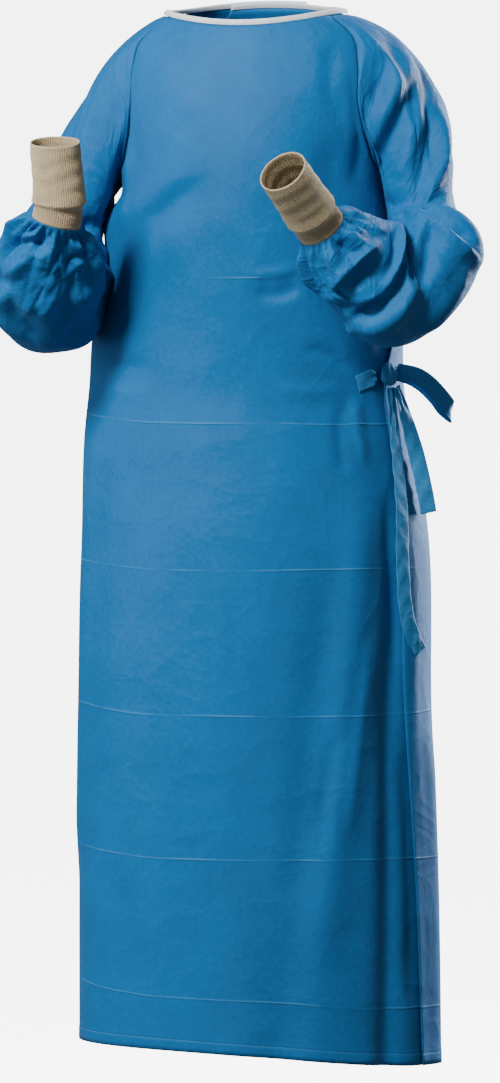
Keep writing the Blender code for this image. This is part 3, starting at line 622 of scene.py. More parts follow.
def cream_knit():
    """Each stitch is a V: the wave along the tube is shifted by how far it is from the rib's middle."""
    material, tree, shader, flat = start_material("rib_knit", 0.85, 0.5, (1.0, 0.95, 0.85, 1))
    place = wire(tree, "ShaderNodeSeparateXYZ", {0: flat})
    rib = maths(tree, "PINGPONG", maths(tree, "MULTIPLY", place.outputs[0], RIBS / 0.182), 0.5)
    slant = maths(tree, "MULTIPLY", rib, 0.0012)
    rows = maths(tree, "DIVIDE", maths(tree, "ADD", place.outputs[1], slant), 0.0015)
    stitch = maths(tree, "PINGPONG", rows, 0.5)
    fuzz = wire(tree, "ShaderNodeTexNoise", {"Vector": flat, "Scale": 700.0, "Detail": 4.0})
    stain = wire(tree, "ShaderNodeTexNoise", {"Vector": flat, "Scale": 45.0, "Detail": 3.0})
    height = maths(tree, "ADD", maths(tree, "MULTIPLY", stitch, 0.0006),
                   maths(tree, "MULTIPLY", fuzz.outputs[0], 0.00025))
    # Painted shade: the stitch wave darkens the knit between the stitches and lightens their crests.
    light = remap(tree, stitch, 0.0, 0.5, 0.0, 1.0)
    colour = mix_colour(tree, light, (0.34, 0.26, 0.14, 1), (0.62, 0.51, 0.32, 1))
    faded = remap(tree, stain.outputs[0], 0.35, 0.7, 0.0, 0.30)
    colour = mix_colour(tree, faded, colour, (0.72, 0.63, 0.44, 1))
    # Painted shade: the cuff's first 16 to 22 mm from the sleeve are darkened as the sleeve's shadow
    # over it.
    band = maths(tree, "SUBTRACT", 1.0, remap(tree, place.outputs[1], 0.016, 0.022, 0.0, 1.0))
    colour = mix_colour(tree, maths(tree, "MULTIPLY", band, 0.75), colour, (0.36, 0.27, 0.17, 1))
    tree.links.new(colour, shader.inputs["Base Color"])
    finish_relief(tree, shader, height)
    return material


def white_tape():
    """A fine weave of two crossing waves, with a row of stitches near the tape's lower edge."""
    material, tree, shader, flat = start_material("bias_tape", 0.72, 0.25, (1, 1, 1, 1))
    place = wire(tree, "ShaderNodeSeparateXYZ", {0: flat})
    warp = maths(tree, "PINGPONG", maths(tree, "MULTIPLY", place.outputs[0], 1800.0), 0.5)
    weft = maths(tree, "PINGPONG", maths(tree, "MULTIPLY", place.outputs[1], 1800.0), 0.5)
    weave = maths(tree, "MULTIPLY", warp, weft)
    across = maths(tree, "SUBTRACT", place.outputs[1], 0.0022)
    row = place_group(
        tree, STITCHES, {"Across": across, "Along": place.outputs[0], "Pitch": 0.0030}
    )
    soil = wire(tree, "ShaderNodeTexNoise", {"Vector": flat, "Scale": 60.0, "Detail": 3.0})
    greyed = remap(tree, soil.outputs[0], 0.35, 0.7, 0.0, 1.0)
    colour = mix_colour(tree, greyed, (0.80, 0.84, 0.88, 1), (0.70, 0.76, 0.83, 1))
    sewn = maths(tree, "MULTIPLY", row.outputs["Mask"], 0.5)
    colour = mix_colour(tree, sewn, colour, (0.52, 0.60, 0.70, 1))
    height = maths(tree, "ADD", maths(tree, "MULTIPLY", weave, 0.0003), row.outputs["Height"])
    tree.links.new(colour, shader.inputs["Base Color"])
    finish_relief(tree, shader, height)
    return material


def hook_pad():
    """Rows of hooks: bright dots of a regular cell pattern."""
    material, tree, shader, flat = start_material("hook_pad", 0.7, 0.1, (1, 1, 1, 1))
    dots = wire(
        tree,
        "ShaderNodeTexVoronoi",
        {"Vector": flat, "Scale": 700.0, "Randomness": 0.15},
        voronoi_dimensions="2D",
    )
    hook = remap(tree, dots.outputs["Distance"], 0.15, 0.45, 1.0, 0.0)
    colour = mix_colour(tree, hook, (0.50, 0.55, 0.60, 1), (0.82, 0.85, 0.88, 1))
    tree.links.new(colour, shader.inputs["Base Color"])
    finish_relief(tree, shader, maths(tree, "MULTIPLY", hook, 0.0004))
    return material


KNIT, TAPE, HOOKS = cream_knit(), white_tape(), hook_pad()
print("other materials:", KNIT.name, TAPE.name, HOOKS.name)

# %% [markdown]
# One helper turns a grid of points into a piece of cloth. It keeps a flat map in metres, checks
# that the faces look outwards, and gives the sheet its thickness with a Solidify modifier. The
# real fabric is about 0.3 mm thick, and 0.6 mm here keeps its edges visible.

# %% Cloth from a grid


def cloth(name, grid, flat, material, node, around=False, outward=None, thickness=0.0006):
    """Quads between neighbours on the grid; flat is the map, with one more column if it closes."""
    rows, columns = grid.shape[:2]
    wide = columns + 1 if around else columns
    cell = np.arange(rows * wide).reshape(rows, wide)
    corners = np.stack([cell[:-1, :-1], cell[1:, :-1], cell[1:, 1:], cell[:-1, 1:]], -1).reshape(-1, 4)
    faces = corners // wide * columns + corners % wide % columns
    normals = grid_normals(grid, around) if outward is None else outward
    first = grid.reshape(-1, 3)[faces]
    facing = np.cross(first[:, 1] - first[:, 0], first[:, 3] - first[:, 0])
    if (facing * normals.reshape(-1, 3)[faces[:, 0]]).sum() < 0:
        faces, corners = faces[:, ::-1], corners[:, ::-1]
    mesh = bpy.data.meshes.new(name)
    mesh.from_pydata(grid.reshape(-1, 3).tolist(), [], faces.tolist())
    layer = mesh.uv_layers.new(name="cut")
    layer.data.foreach_set("uv", flat.reshape(-1, 2)[corners.reshape(-1)].astype(np.float32).ravel())
    mesh.shade_smooth()
    mesh.materials.append(material)
    piece = bpy.data.objects.new(name, mesh)
    bpy.context.scene.collection.objects.link(piece)
    if thickness:
        skin = piece.modifiers.new("thickness", "SOLIDIFY")
        skin.thickness = thickness
        skin.offset = 0.0
        skin.use_even_offset = False
    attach(piece, "root")
    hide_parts(node)
    area = sum(p.area for p in mesh.polygons)
    print(f"{name}: {len(faces)} quads, {area:.3f} m2 of cloth")
    return piece


# %% [markdown]
# The front is one panel from the neck to the hem, cut with a raglan line up to the neck on each
# side. Its edges are the same curves that the sleeves and the back panels are sewn to.

# %% Seams and free edges
EdgeRow = namedtuple("EdgeRow", "height degrees")
RAGLAN_FRONT = [
    EdgeRow(-0.007, 62),
    EdgeRow(-0.050, 54),
    EdgeRow(-0.110, 53),
    EdgeRow(-0.160, 62),
    EdgeRow(-0.195, 76),
    EdgeRow(-0.215, 91),
]
RAGLAN_BACK = [
    EdgeRow(-0.007, 120),
    EdgeRow(-0.050, 129),
    EdgeRow(-0.110, 129),
    EdgeRow(-0.160, 120),
    EdgeRow(-0.195, 106),
    EdgeRow(-0.215, 91),
]
FLAP_EDGE = [
    EdgeRow(-0.007, 155),
    EdgeRow(-0.110, 145),
    EdgeRow(-0.215, 124),
    EdgeRow(-0.330, 92),
    EdgeRow(-0.430, 71),
    EdgeRow(-0.560, 67),
    EdgeRow(-0.830, 67),
    EdgeRow(-1.070, 71),
    EdgeRow(-1.248, 74),
]
INNER_EDGE = [EdgeRow(-0.007, 205), EdgeRow(-0.215, 212), EdgeRow(-1.248, 216)]
SIDE_SEAM = 91
SEAM_GAP = 0.0003
MAP_RADIUS = 0.19
SEAM_SINK = 0.0011


def edge_angle(rows, height):
    """The angle of a seam or a free edge at each height, in radians."""
    degrees = along_rows([r.height for r in rows], [r.degrees for r in rows], height)
    return np.radians(degrees[..., 0])


def side_angles(heights, raglan):
    """The raglan seam above the underarm, the side seam below it."""
    above = edge_angle(raglan, np.maximum(heights, -ARMHOLE_DEPTH))
    return np.where(heights >= -ARMHOLE_DEPTH - 1e-9, above, math.radians(SIDE_SEAM))


def body_heights(upper, lower):
    """Heights of the rows, closer together above the waist, where the creases are small."""
    top = np.linspace(NECK_HEIGHT, -0.46, upper)
    return np.concatenate([top, np.linspace(-0.46, -LENGTH, lower + 1)[1:]])


def panel(heights, first, last, columns):
    """Angles and heights of a panel's points, and the metres from its nearest side edge."""
    share = np.linspace(0, 1, columns) * np.ones((len(heights), 1))
    angle = first[:, None] + (last - first)[:, None] * share
    height = np.broadcast_to(heights[:, None], angle.shape)
    reach = np.abs(last - first)[:, None] * 0.17
    return angle, height, share * reach, (1 - share) * reach


def flat_map(angle, height):
    """The body's map: metres round at a constant radius, and metres down."""
    return np.stack([angle * MAP_RADIUS, height], axis=-1)


def seam_dip(distance):
    """The cloth rolls in towards a seam."""
    return -SEAM_SINK * np.exp(-((distance / 0.0045) ** 2))


SWELL, SWELL_UNDER_ARM = 0.010, 0.0075


def side_swell(angle, height):
    """The cloth stands off the wearer's right side, most of all just under the arm."""
    away = (np.degrees(angle) - 268 + 180) % 360 - 180
    down = smoothstep((-height - 0.219) / 0.05) * smoothstep((0.66 + height) / 0.18)
    fuller = smoothstep((-height - 0.217) / 0.026) * smoothstep((0.30 + height) / 0.045)
    return np.exp(-((away / 22) ** 2)) * (SWELL * down + SWELL_UNDER_ARM * fuller)


def hem_step(height):
    """The turned-up hem is two layers, so it stands a little prouder."""
    return 0.0005 * smoothstep((-LENGTH + 0.017 - height) / 0.003)


# %% [markdown]
# On the front the light falls from the left over wide calm planes, and a few creases break them: a
# diagonal from the chest to the underarm, puckers at the shoulder seams, and pulls that fan out
# from the tie. Their lines are given in the picture's pixels, and their sizes in pixels too.

# %% The front panel
FRONT_CREASES = [
    Crease([(222, 168), (165, 208), (112, 246), (98, 335)], 17, -0.0090, 0.0, 0.25),
    Crease([(135, 150), (112, 190), (97, 240)], 13, 0.0045, 0.2, 0.0),
    Crease([(134, 28), (140, 45), (143, 62)], 4, 0.0022, 0.7, 0.0),
    Crease([(131, 50), (129, 80), (127, 112)], 6, -0.0030, 0.4, 0.0),
    Crease([(150, 40), (170, 85), (200, 120)], 14, 0.0022, 0.0, 0.0),
    Crease([(338, 30), (330, 75), (345, 140)], 9, -0.0030, 0.2, 0.0),
    Crease([(352, 60), (362, 110), (352, 205)], 7, -0.0040, 0.4, 0.0),
    Crease([(250, 292), (275, 296), (305, 284)], 8, -0.0042, 0.2, 0.3),
    Crease([(246, 276), (275, 274), (304, 268)], 4, 0.0024, 0.9, 0.3),
    Crease([(356, 392), (356, 425), (366, 470)], 5, 0.0045, 0.9, 0.2),
    Crease([(346, 392), (340, 430), (346, 480)], 6, -0.0030, 0.4, 0.0),
    Crease([(352, 374), (330, 356), (300, 345)], 6, -0.0026, 0.4, 0.0),
    Crease([(350, 386), (315, 392), (270, 388)], 7, 0.0020, 0.4, 0.0),
    Crease([(100, 345), (120, 362), (150, 372)], 7, -0.0022, 0.2, 0.0),
    Crease([(98, 380), (122, 392), (160, 396)], 8, 0.0018, 0.2, 0.0),
    Crease([(372, 625), (362, 704), (346, 850)], 7, 0.0050, 0.9, 0.35),
    Crease([(340, 715), (330, 775), (318, 860)], 9, -0.0040, 0.2, 0.0),
    Crease([(388, 470), (392, 590), (398, 700)], 7, -0.0050, 0.4, 0.0),
    Crease([(400, 700), (408, 800), (412, 900), (412, 1040)], 9, -0.0060, 0.4, 0.0),
    Crease([(221, 560), (222, 630), (219, 705)], 5, 0.0010, 0.7, 0.0),
    Crease([(150, 600), (160, 760), (158, 930)], 20, 0.0022, 0.0, 0.0),
    Crease([(120, 860), (128, 950), (124, 1035)], 15, -0.0022, 0.0, 0.0),
    Crease([(250, 760), (262, 880), (258, 1040)], 22, -0.0022, 0.0, 0.0),
    Crease([(205, 250), (198, 330), (208, 410)], 22, 0.0018, 0.0, 0.0),
]


def front_panel():
    """The body's form between the two seams, with the drawn creases added along its normals."""
    heights = body_heights(124, 132)
    edge = side_angles(heights, RAGLAN_FRONT)
    angle, height, left, right = panel(heights, -edge + 0.0001, edge - 0.0001, 124)
    points, out = body(angle, height), body_normal(angle, height)
    move = drawn_height(points, out, FRONT_CREASES)
    move = move * smoothstep(np.minimum(left, right) / 0.012)
    move = move + seam_dip(left) + seam_dip(right) + hem_step(height) + side_swell(angle, height)
    grid = points + out * move[..., None]
    flat = flat_map(angle, height)
    return cloth("front_panel", grid, flat, BODY_BLUE, "front", outward=out)


front = front_panel()

# %% [markdown]
# The back is two overlapping halves. The inner one starts at the wearer's left side seam and ends
# under the outer one, which comes from the right side seam right round the back to the left front,
# where the ties hold it. The outer layer lies 4.5 mm over the inner one, and its free edge comes
# down close to it.

# %% The back panels
LAYER = 0.0045
INNER_EASE = 0.004
EDGE_DROP, EDGE_DROP_OVER_INNER = 0.0008, 0.0048
LAYER_FROM, LAYER_TO = 238, 150
BACK_CREASES = [
    Crease([(118, -0.30), (134, -0.37), (152, -0.425)], 0.010, -0.0035, 0.4, 0.2),
    Crease([(96, -0.36), (112, -0.41), (130, -0.44)], 0.009, 0.0030, 0.7, 0.2),
    Crease([(88, -0.46), (100, -0.52), (106, -0.62)], 0.010, -0.0040, 0.4, 0.0),
    Crease([(80, -0.45), (86, -0.52), (90, -0.60)], 0.007, 0.0035, 0.9, 0.2),
    Crease([(150, -0.12), (163, -0.19), (170, -0.28)], 0.012, -0.0035, 0.2, 0.0),
    Crease([(172, -0.05), (180, -0.11), (196, -0.15)], 0.009, -0.0028, 0.4, 0.2),
    Crease([(228, -0.10), (215, -0.18), (204, -0.27)], 0.012, 0.0035, 0.4, 0.0),
    Crease([(246, -0.22), (232, -0.29), (222, -0.38)], 0.012, -0.0040, 0.4, 0.2),
    Crease([(258, -0.27), (246, -0.36), (244, -0.45)], 0.009, 0.0035, 0.7, 0.0),
    Crease([(200, -0.36), (186, -0.42), (164, -0.45)], 0.010, -0.0030, 0.4, 0.2),
    Crease([(232, -0.42), (214, -0.46), (190, -0.47)], 0.009, 0.0026, 0.7, 0.0),
    Crease([(156, -0.60), (160, -0.78), (152, -0.98)], 0.014, 0.0035, 0.7, 0.2),
    Crease([(214, -0.56), (210, -0.72), (216, -0.90)], 0.013, -0.0040, 0.2, 0.0),
    Crease([(248, -0.62), (254, -0.86), (250, -1.10)], 0.016, 0.0035, 0.4, 0.2),
    Crease([(184, -0.84), (188, -1.02), (184, -1.22)], 0.015, -0.0038, 0.2, 0.0),
    Crease([(128, -0.72), (124, -0.90), (130, -1.10)], 0.013, -0.0036, 0.4, 0.2),
    Crease([(74, -0.66), (72, -0.86), (76, -1.06)], 0.010, 0.0030, 0.7, 0.0),
    Crease([(100, -0.80), (102, -1.00), (98, -1.22)], 0.012, -0.0036, 0.2, 0.0),
]


def round_body(angle, height, creases):
    """The creases' height on a body panel, with places in degrees round turned to metres."""
    radius = MAP_RADIUS * math.pi / 180
    placed = [c._replace(path=[(d * radius, h) for d, h in c.path]) for c in creases]
    place = np.stack([np.degrees(angle) % 360 * radius, height], axis=-1)
    return crease_height(place, placed)


def flap_rise(angle):
    """An S from nothing at 238 degrees to one layer at 150."""
    return LAYER * smoothstep((LAYER_FROM - np.degrees(angle)) / (LAYER_FROM - LAYER_TO))


def inner_back_panel():
    """The body's form sunk under the outer layer, with shallower folds away from its seam."""
    heights = body_heights(90, 90)
    seam, free = side_angles(heights, RAGLAN_BACK), edge_angle(INNER_EDGE, heights)
    angle, height, left, right = panel(heights, seam + 0.0001, free, 72)
    share = left / (left + right)
    sink = flap_rise(angle) - LAYER - INNER_EASE * smoothstep(share * 4.0)
    points = body(angle, height, sink, 1 - 0.7 * smoothstep(share * 4.0))
    out = body_normal(angle, height)
    grid = points + out * (seam_dip(left) * smoothstep((height + 0.40) / 0.1))[..., None]
    flat = flat_map(angle, height)
    return cloth("inner_back_panel", grid, flat, BODY_BLUE, "back_left", outward=out)


def outer_back_panel():
    """The body's form moved out by the layer, with its hidden creases and a turned free edge."""
    heights = body_heights(110, 120)
    seam = 2 * math.pi - side_angles(heights, RAGLAN_BACK)
    free = edge_angle(FLAP_EDGE, heights)
    angle, height, left, right = panel(heights, free, seam - 0.0001, 150)
    points, out = body(angle, height, flap_rise(angle)), body_normal(angle, height)
    calm = smoothstep(left / 0.05) * smoothstep(right / 0.02)
    move = round_body(angle, height, BACK_CREASES) * calm
    move = np.maximum(move, -0.0016 - 0.0035 * smoothstep((np.degrees(angle) - 215) / 20))
    over_inner = smoothstep((np.degrees(angle) - 98) / 10)
    drop = EDGE_DROP + EDGE_DROP_OVER_INNER * over_inner
    drop = drop * smoothstep((0.022 - left) / 0.020)
    edge = 0.0004 * smoothstep((0.013 - left) / 0.003) - drop + side_swell(angle, height)
    grid = points + out * (move + edge + seam_dip(right) + hem_step(height))[..., None]
    flat = flat_map(angle, height)
    return cloth("outer_back_panel", grid, flat, BODY_BLUE, "back_right", outward=out)


inner_back, outer_back = inner_back_panel(), outer_back_panel()

# %% [markdown]
# A raglan sleeve runs from the neck in one piece: it is sewn to the front and back along the
# armhole, drops over the shoulder, bends sharply at the elbow and is gathered into the cuff. Its
# form here is a cap from the armhole's seam to the arm's first section, then a tube of ovals down
# the arm, given by the points on the inner and outer side of the elbow.

# %% The arm's sections
POSE_TURN = math.radians(12)
RAGLAN_POINTS, NECK_POINTS, ARMHOLE_POINTS = 12, 7, 30
CAP_ROWS, ARM_ROWS = 8, 18
LEAST_ONWARD = 0.2
Ring = namedtuple("Ring", "inner outer side")
LEFT_RINGS = [
    Ring((0.164, -0.106, -0.250), (0.224, -0.034, -0.216), 0.044),
    Ring((0.165, -0.121, -0.262), (0.224, -0.048, -0.244), 0.046),
    Ring((0.165, -0.133, -0.266), (0.234, -0.078, -0.285), 0.048),
    Ring((0.160, -0.143, -0.268), (0.254, -0.116, -0.322), 0.058),
    Ring((0.153, -0.151, -0.264), (0.222, -0.158, -0.368), 0.056),
    Ring((0.145, -0.159, -0.260), (0.180, -0.188, -0.398), 0.054),
    Ring((0.136, -0.168, -0.255), (0.138, -0.212, -0.396), 0.051),
    Ring((0.126, -0.179, -0.250), (0.104, -0.228, -0.362), 0.048),
    Ring((0.116, -0.191, -0.246), (0.080, -0.236, -0.336), 0.044),
    Ring((0.104, -0.204, -0.243), (0.067, -0.243, -0.311), 0.039),
    Ring((0.088, -0.219, -0.242), (0.062, -0.250, -0.285), 0.029),
]
RIGHT_RINGS = [
    Ring((-0.212, -0.026, -0.250), (-0.226, 0.062, -0.226), 0.044),
    Ring((-0.224, -0.042, -0.266), (-0.243, 0.072, -0.274), 0.052),
    Ring((-0.234, -0.057, -0.277), (-0.258, 0.062, -0.333), 0.064),
    Ring((-0.241, -0.070, -0.277), (-0.263, 0.022, -0.386), 0.070),
    Ring((-0.244, -0.083, -0.272), (-0.263, -0.036, -0.410), 0.072),
    Ring((-0.244, -0.096, -0.265), (-0.260, -0.092, -0.402), 0.070),
    Ring((-0.243, -0.108, -0.258), (-0.254, -0.136, -0.366), 0.064),
    Ring((-0.240, -0.120, -0.252), (-0.246, -0.165, -0.324), 0.055),
    Ring((-0.237, -0.132, -0.249), (-0.239, -0.182, -0.290), 0.045),
    Ring((-0.234, -0.145, -0.249), (-0.233, -0.200, -0.264), 0.029),
]
LEFT_HAND_END, RIGHT_HAND_END = (0.030, -0.296, -0.200), (-0.234, -0.196, -0.164)
CUFF_RADIUS = 0.0285


def from_pose(point):
    """A point of the turned frame that the arms are posed in, turned back to the gown's frame."""
    x, y, z = np.moveaxis(np.asarray(point, float), -1, 0)
    turn = math.cos(POSE_TURN), math.sin(POSE_TURN)
    return np.stack([x * turn[0] - y * turn[1], x * turn[1] + y * turn[0], z], axis=-1)


def arm_frames(rings, at):
    """Centre, outward half width, sideways direction, half side and tangent of the sections."""
    keys = np.linspace(0, 1, len(rings))
    table = np.array([(*r.inner, *r.outer, r.side) for r in rings])
    inner, outer, half = (along_rows(keys, table[:, c], at) for c in (slice(0, 3), slice(3, 6), 6))
    inner, outer = from_pose(inner), from_pose(outer)
    centre, outward = (inner + outer) / 2, (outer - inner) / 2
    ahead, behind = (
        from_pose((along_rows(keys, table[:, 0:3], x) + along_rows(keys, table[:, 3:6], x)) / 2)
        for x in (np.minimum(at + 0.09, 1), np.maximum(at - 0.09, 0))
    )
    tangent = unit(ahead - behind)
    sideways = unit(np.cross(outward, tangent))
    return centre, outward, sideways, half[..., 0], tangent


def arm_tube(rings, at, turn):
    """Centre, plus outward times the cosine, plus sideways times the half side and the sine."""
    centre, outward, sideways, half, _ = arm_frames(rings, at)
    cosine, sine = np.cos(turn)[..., None], np.sin(turn)[..., None]
    return centre + outward * cosine + sideways * half[..., None] * sine


def armhole(side, count):
    """The armhole's seam: up the front, over the neck and down the back to the underarm."""
    step = np.arange(count) * ARMHOLE_POINTS / count
    over, down = RAGLAN_POINTS - 1, RAGLAN_POINTS + NECK_POINTS
    length = ARMHOLE_DEPTH + NECK_HEIGHT
    rising = -ARMHOLE_DEPTH + length * np.clip(step / over, 0, 1)
    height = np.where(step <= down, rising, NECK_HEIGHT - length * (step - down) / over)
    front, back = edge_angle(RAGLAN_FRONT, height), edge_angle(RAGLAN_BACK, height)
    share = np.clip((step - over) / (down - over), 0, 1)
    angle = front + (back - front) * share
    depth = (NECK_HEIGHT - height) / length
    return body(side * angle, height), body_normal(side * angle, height), depth


print("sections down each arm:", len(LEFT_RINGS), "and", len(RIGHT_RINGS))

# %% [markdown]
# The cloth of a bent sleeve buckles: folds run from the crook of the elbow to its point, and short
# pleats fan out from the cuff. The big ones are in the solids. The sharp ones seen by the camera
# are drawn on the picture, and the others go by their share of the way down the sleeve and their
# degrees round it.

# %% Sleeve folds
SleeveFold = namedtuple("SleeveFold", "start start_degrees end end_degrees width depth")
LEFT_FOLDS = [
    SleeveFold(0.10, -75, 0.34, -160, 0.015, -0.008),
    SleeveFold(0.07, -118, 0.15, -170, 0.013, -0.006),
    SleeveFold(0.18, -50, 0.33, -115, 0.016, 0.005),
    SleeveFold(0.42, -140, 0.53, -48, 0.015, 0.008),
    SleeveFold(0.50, -140, 0.64, -78, 0.014, -0.009),
    SleeveFold(0.64, -125, 0.75, -15, 0.015, 0.008),
    SleeveFold(0.74, -110, 0.80, -5, 0.013, -0.006),
    SleeveFold(0.12, 60, 0.33, 150, 0.016, -0.007),
    SleeveFold(0.22, 20, 0.36, 100, 0.018, 0.006),
    SleeveFold(0.46, 145, 0.56, 55, 0.015, -0.008),
    SleeveFold(0.56, 135, 0.68, 40, 0.016, 0.007),
    SleeveFold(0.72, 120, 0.80, 50, 0.014, -0.006),
]
RIGHT_FOLDS = [
    SleeveFold(0.10, 75, 0.32, 150, 0.015, -0.006),
    SleeveFold(0.20, 60, 0.34, 120, 0.016, 0.005),
    SleeveFold(0.58, 125, 0.74, 85, 0.015, 0.008),
    SleeveFold(0.66, 120, 0.80, 45, 0.014, -0.008),
    SleeveFold(0.74, 60, 0.84, 5, 0.014, 0.007),
    SleeveFold(0.60, -140, 0.70, -40, 0.015, -0.008),
    SleeveFold(0.70, -120, 0.80, -30, 0.014, 0.006),
    SleeveFold(0.12, -60, 0.33, -150, 0.016, -0.007),
    SleeveFold(0.22, -20, 0.38, -100, 0.018, 0.006),
    SleeveFold(0.44, -145, 0.55, -60, 0.015, 0.007),
    SleeveFold(0.46, 140, 0.58, 50, 0.016, -0.007),
]
SLEEVE_LENGTH, SLEEVE_RADIUS = 0.70, 0.060
CROOK_CALM = 0.7
CUFF_GATHERS, GATHER_DEPTH = 8, 0.006


def sleeve_fold_height(folds, at, turn):
    """Depth times a bell of the distance to each fold's line, calmer in the crook of the elbow."""
    total = np.zeros(np.broadcast(at, turn).shape)
    degrees = np.degrees(turn)
    metres = SLEEVE_LENGTH, math.radians(1) * SLEEVE_RADIUS
    for fold in folds:
        run = np.array([fold.end - fold.start, fold.end_degrees - fold.start_degrees]) * metres
        away = (degrees - fold.start_degrees + 180) % 360 - 180
        place = np.stack([at - fold.start, away], axis=-1) * metres
        share = np.clip((place @ run) / (run @ run), 0, 1)
        distance = np.linalg.norm(place - share[..., None] * run, axis=-1)
        total = total + fold.depth * np.exp(-((distance / fold.width) ** 2))
    crook = np.abs((degrees + 180) % 360 - 180)
    return total * (1 - CROOK_CALM * smoothstep((crook - 105) / 50))


def pleat(phase):
    """A wave with straight sides: the arcsine of nearly the cosine, from -1 to 1."""
    return np.arcsin(0.98 * np.cos(phase)) / math.asin(0.98)


def gathers(at, turn):
    """Pleats from the cuff's seam that die away up the sleeve, with finer ones close to it."""
    rise = smoothstep((1 - at) / 0.07) * smoothstep((at - 0.70) / 0.20)
    broad = pleat(CUFF_GATHERS * turn + 0.7 * np.sin(2 * turn))
    close = smoothstep((1 - at) / 0.02) * smoothstep((at - 0.86) / 0.10)
    fine = pleat(21 * turn + 1.3 * np.sin(3 * turn + 1) + 6 * (1 - at))
    return GATHER_DEPTH * rise * broad + 0.0016 * close * fine


LEFT_CREASES = [
    Crease([(394, 202), (436, 227), (486, 267)], 3, 0.0070, 1.0, -0.3),
    Crease([(408, 205), (446, 222), (476, 246)], 4, -0.0075, 0.8, 0.0),
    Crease([(395, 212), (408, 246), (419, 286)], 2.5, 0.0055, 1.0, 0.3),
    Crease([(407, 224), (413, 252), (420, 284)], 3.5, -0.0110, 1.0, 0.0),
    Crease([(374, 205), (395, 217), (401, 238), (397, 262), (382, 294)], 2.5, 0.0060, 1.0, -0.3),
    Crease([(405, 234), (402, 264), (389, 290), (364, 309), (344, 326)], 4, -0.0090, 1.0, 0.0),
    Crease([(344, 320), (356, 342), (378, 365)], 2.5, 0.0055, 1.0, 0.3),
    Crease([(336, 322), (348, 344), (366, 362)], 4, -0.0080, 1.0, 0.0),
    Crease([(380, 243), (356, 262), (329, 293)], 3, 0.0060, 1.0, -0.3),
    Crease([(386, 291), (356, 300), (328, 292)], 3, 0.0045, 1.0, 0.0),
    Crease([(396, 50), (384, 76), (373, 112)], 6, -0.0060, 0.8, 0.3),
    Crease([(428, 68), (404, 100), (384, 140), (360, 190)], 8, -0.0060, 0.8, 0.3),
    Crease([(434, 80), (410, 112), (388, 156), (370, 194)], 4, 0.0045, 1.0, 0.0),
    Crease([(365, 100), (361, 140), (356, 184)], 3.5, -0.0045, 1.0, 0.2),
    Crease([(423, 94), (428, 130), (434, 170)], 3, -0.0050, 1.0, 0.0),
    Crease([(437, 100), (443, 140), (447, 182)], 3.5, 0.0055, 1.0, 0.0),
    Crease([(424, 66), (404, 112), (378, 165), (360, 204)], 11.5, -0.0090, 0.0, 0.35),
    Crease([(406, 58), (392, 105), (368, 162)], 11.25, 0.0069, 0.7, 0.0),
    Crease([(388, 38), (377, 75), (374, 112)], 8.75, -0.0080, 0.2, 0.0),
    Crease([(366, 108), (359, 155), (352, 200)], 6, -0.0040, 0.4, 0.2),
    Crease([(429, 90), (413, 135), (392, 186)], 8.75, 0.0069, 0.9, 0.2),
    Crease([(441, 108), (445, 150), (438, 195)], 10, 0.0057, 0.7, 0.2),
    Crease([(346, 201), (380, 206), (420, 199), (452, 196)], 7.5, -0.0092, 0.4, 0.0),
    Crease([(396, 206), (436, 228), (484, 266)], 6.25, 0.0103, 1.0, -0.45),
    Crease([(418, 212), (448, 222), (476, 246)], 8.75, -0.0069, 0.2, 0.0),
    Crease([(404, 212), (413, 246), (421, 292)], 7.5, -0.0138, 0.4, 0.2),
    Crease([(429, 224), (426, 255), (421, 292)], 6.25, -0.0069, 0.4, 0.0),
    Crease(
        [(370, 212), (398, 234), (400, 262), (386, 290), (362, 306), (343, 322)],
        6.25, 0.0103, 1.0, -0.4,
    ),
    Crease([(410, 262), (397, 296), (369, 316), (350, 328)], 8.75, -0.0115, 0.2, 0.0),
    Crease([(343, 322), (354, 346), (378, 366)], 6.25, 0.0080, 1.0, 0.3),
    Crease([(333, 330), (344, 352), (364, 372)], 6.25, -0.0069, 0.4, 0.0),
    Crease([(330, 294), (352, 262), (384, 242)], 6.25, 0.0075, 1.0, -0.3),
    Crease([(342, 294), (366, 276), (388, 264)], 8.75, -0.0075, 0.2, 0.0),
    Crease([(300, 250), (303, 272), (312, 298)], 5, 0.0057, 1.0, 0.2),
    Crease([(308, 252), (314, 276), (326, 302)], 5, -0.0063, 0.4, 0.0),
    Crease([(320, 247), (332, 268), (338, 292)], 5, 0.0057, 1.0, 0.2),
    Crease([(336, 238), (350, 250), (370, 254)], 5, -0.0069, 0.4, 0.0),
    Crease([(346, 226), (364, 230), (388, 234)], 5, 0.0057, 1.0, 0.2),
    Crease([(470, 260), (454, 300), (420, 346)], 8.75, 0.0057, 0.9, 0.3),
    Crease([(444, 268), (430, 306), (404, 344)], 10, -0.0057, 0.2, 0.0),
]
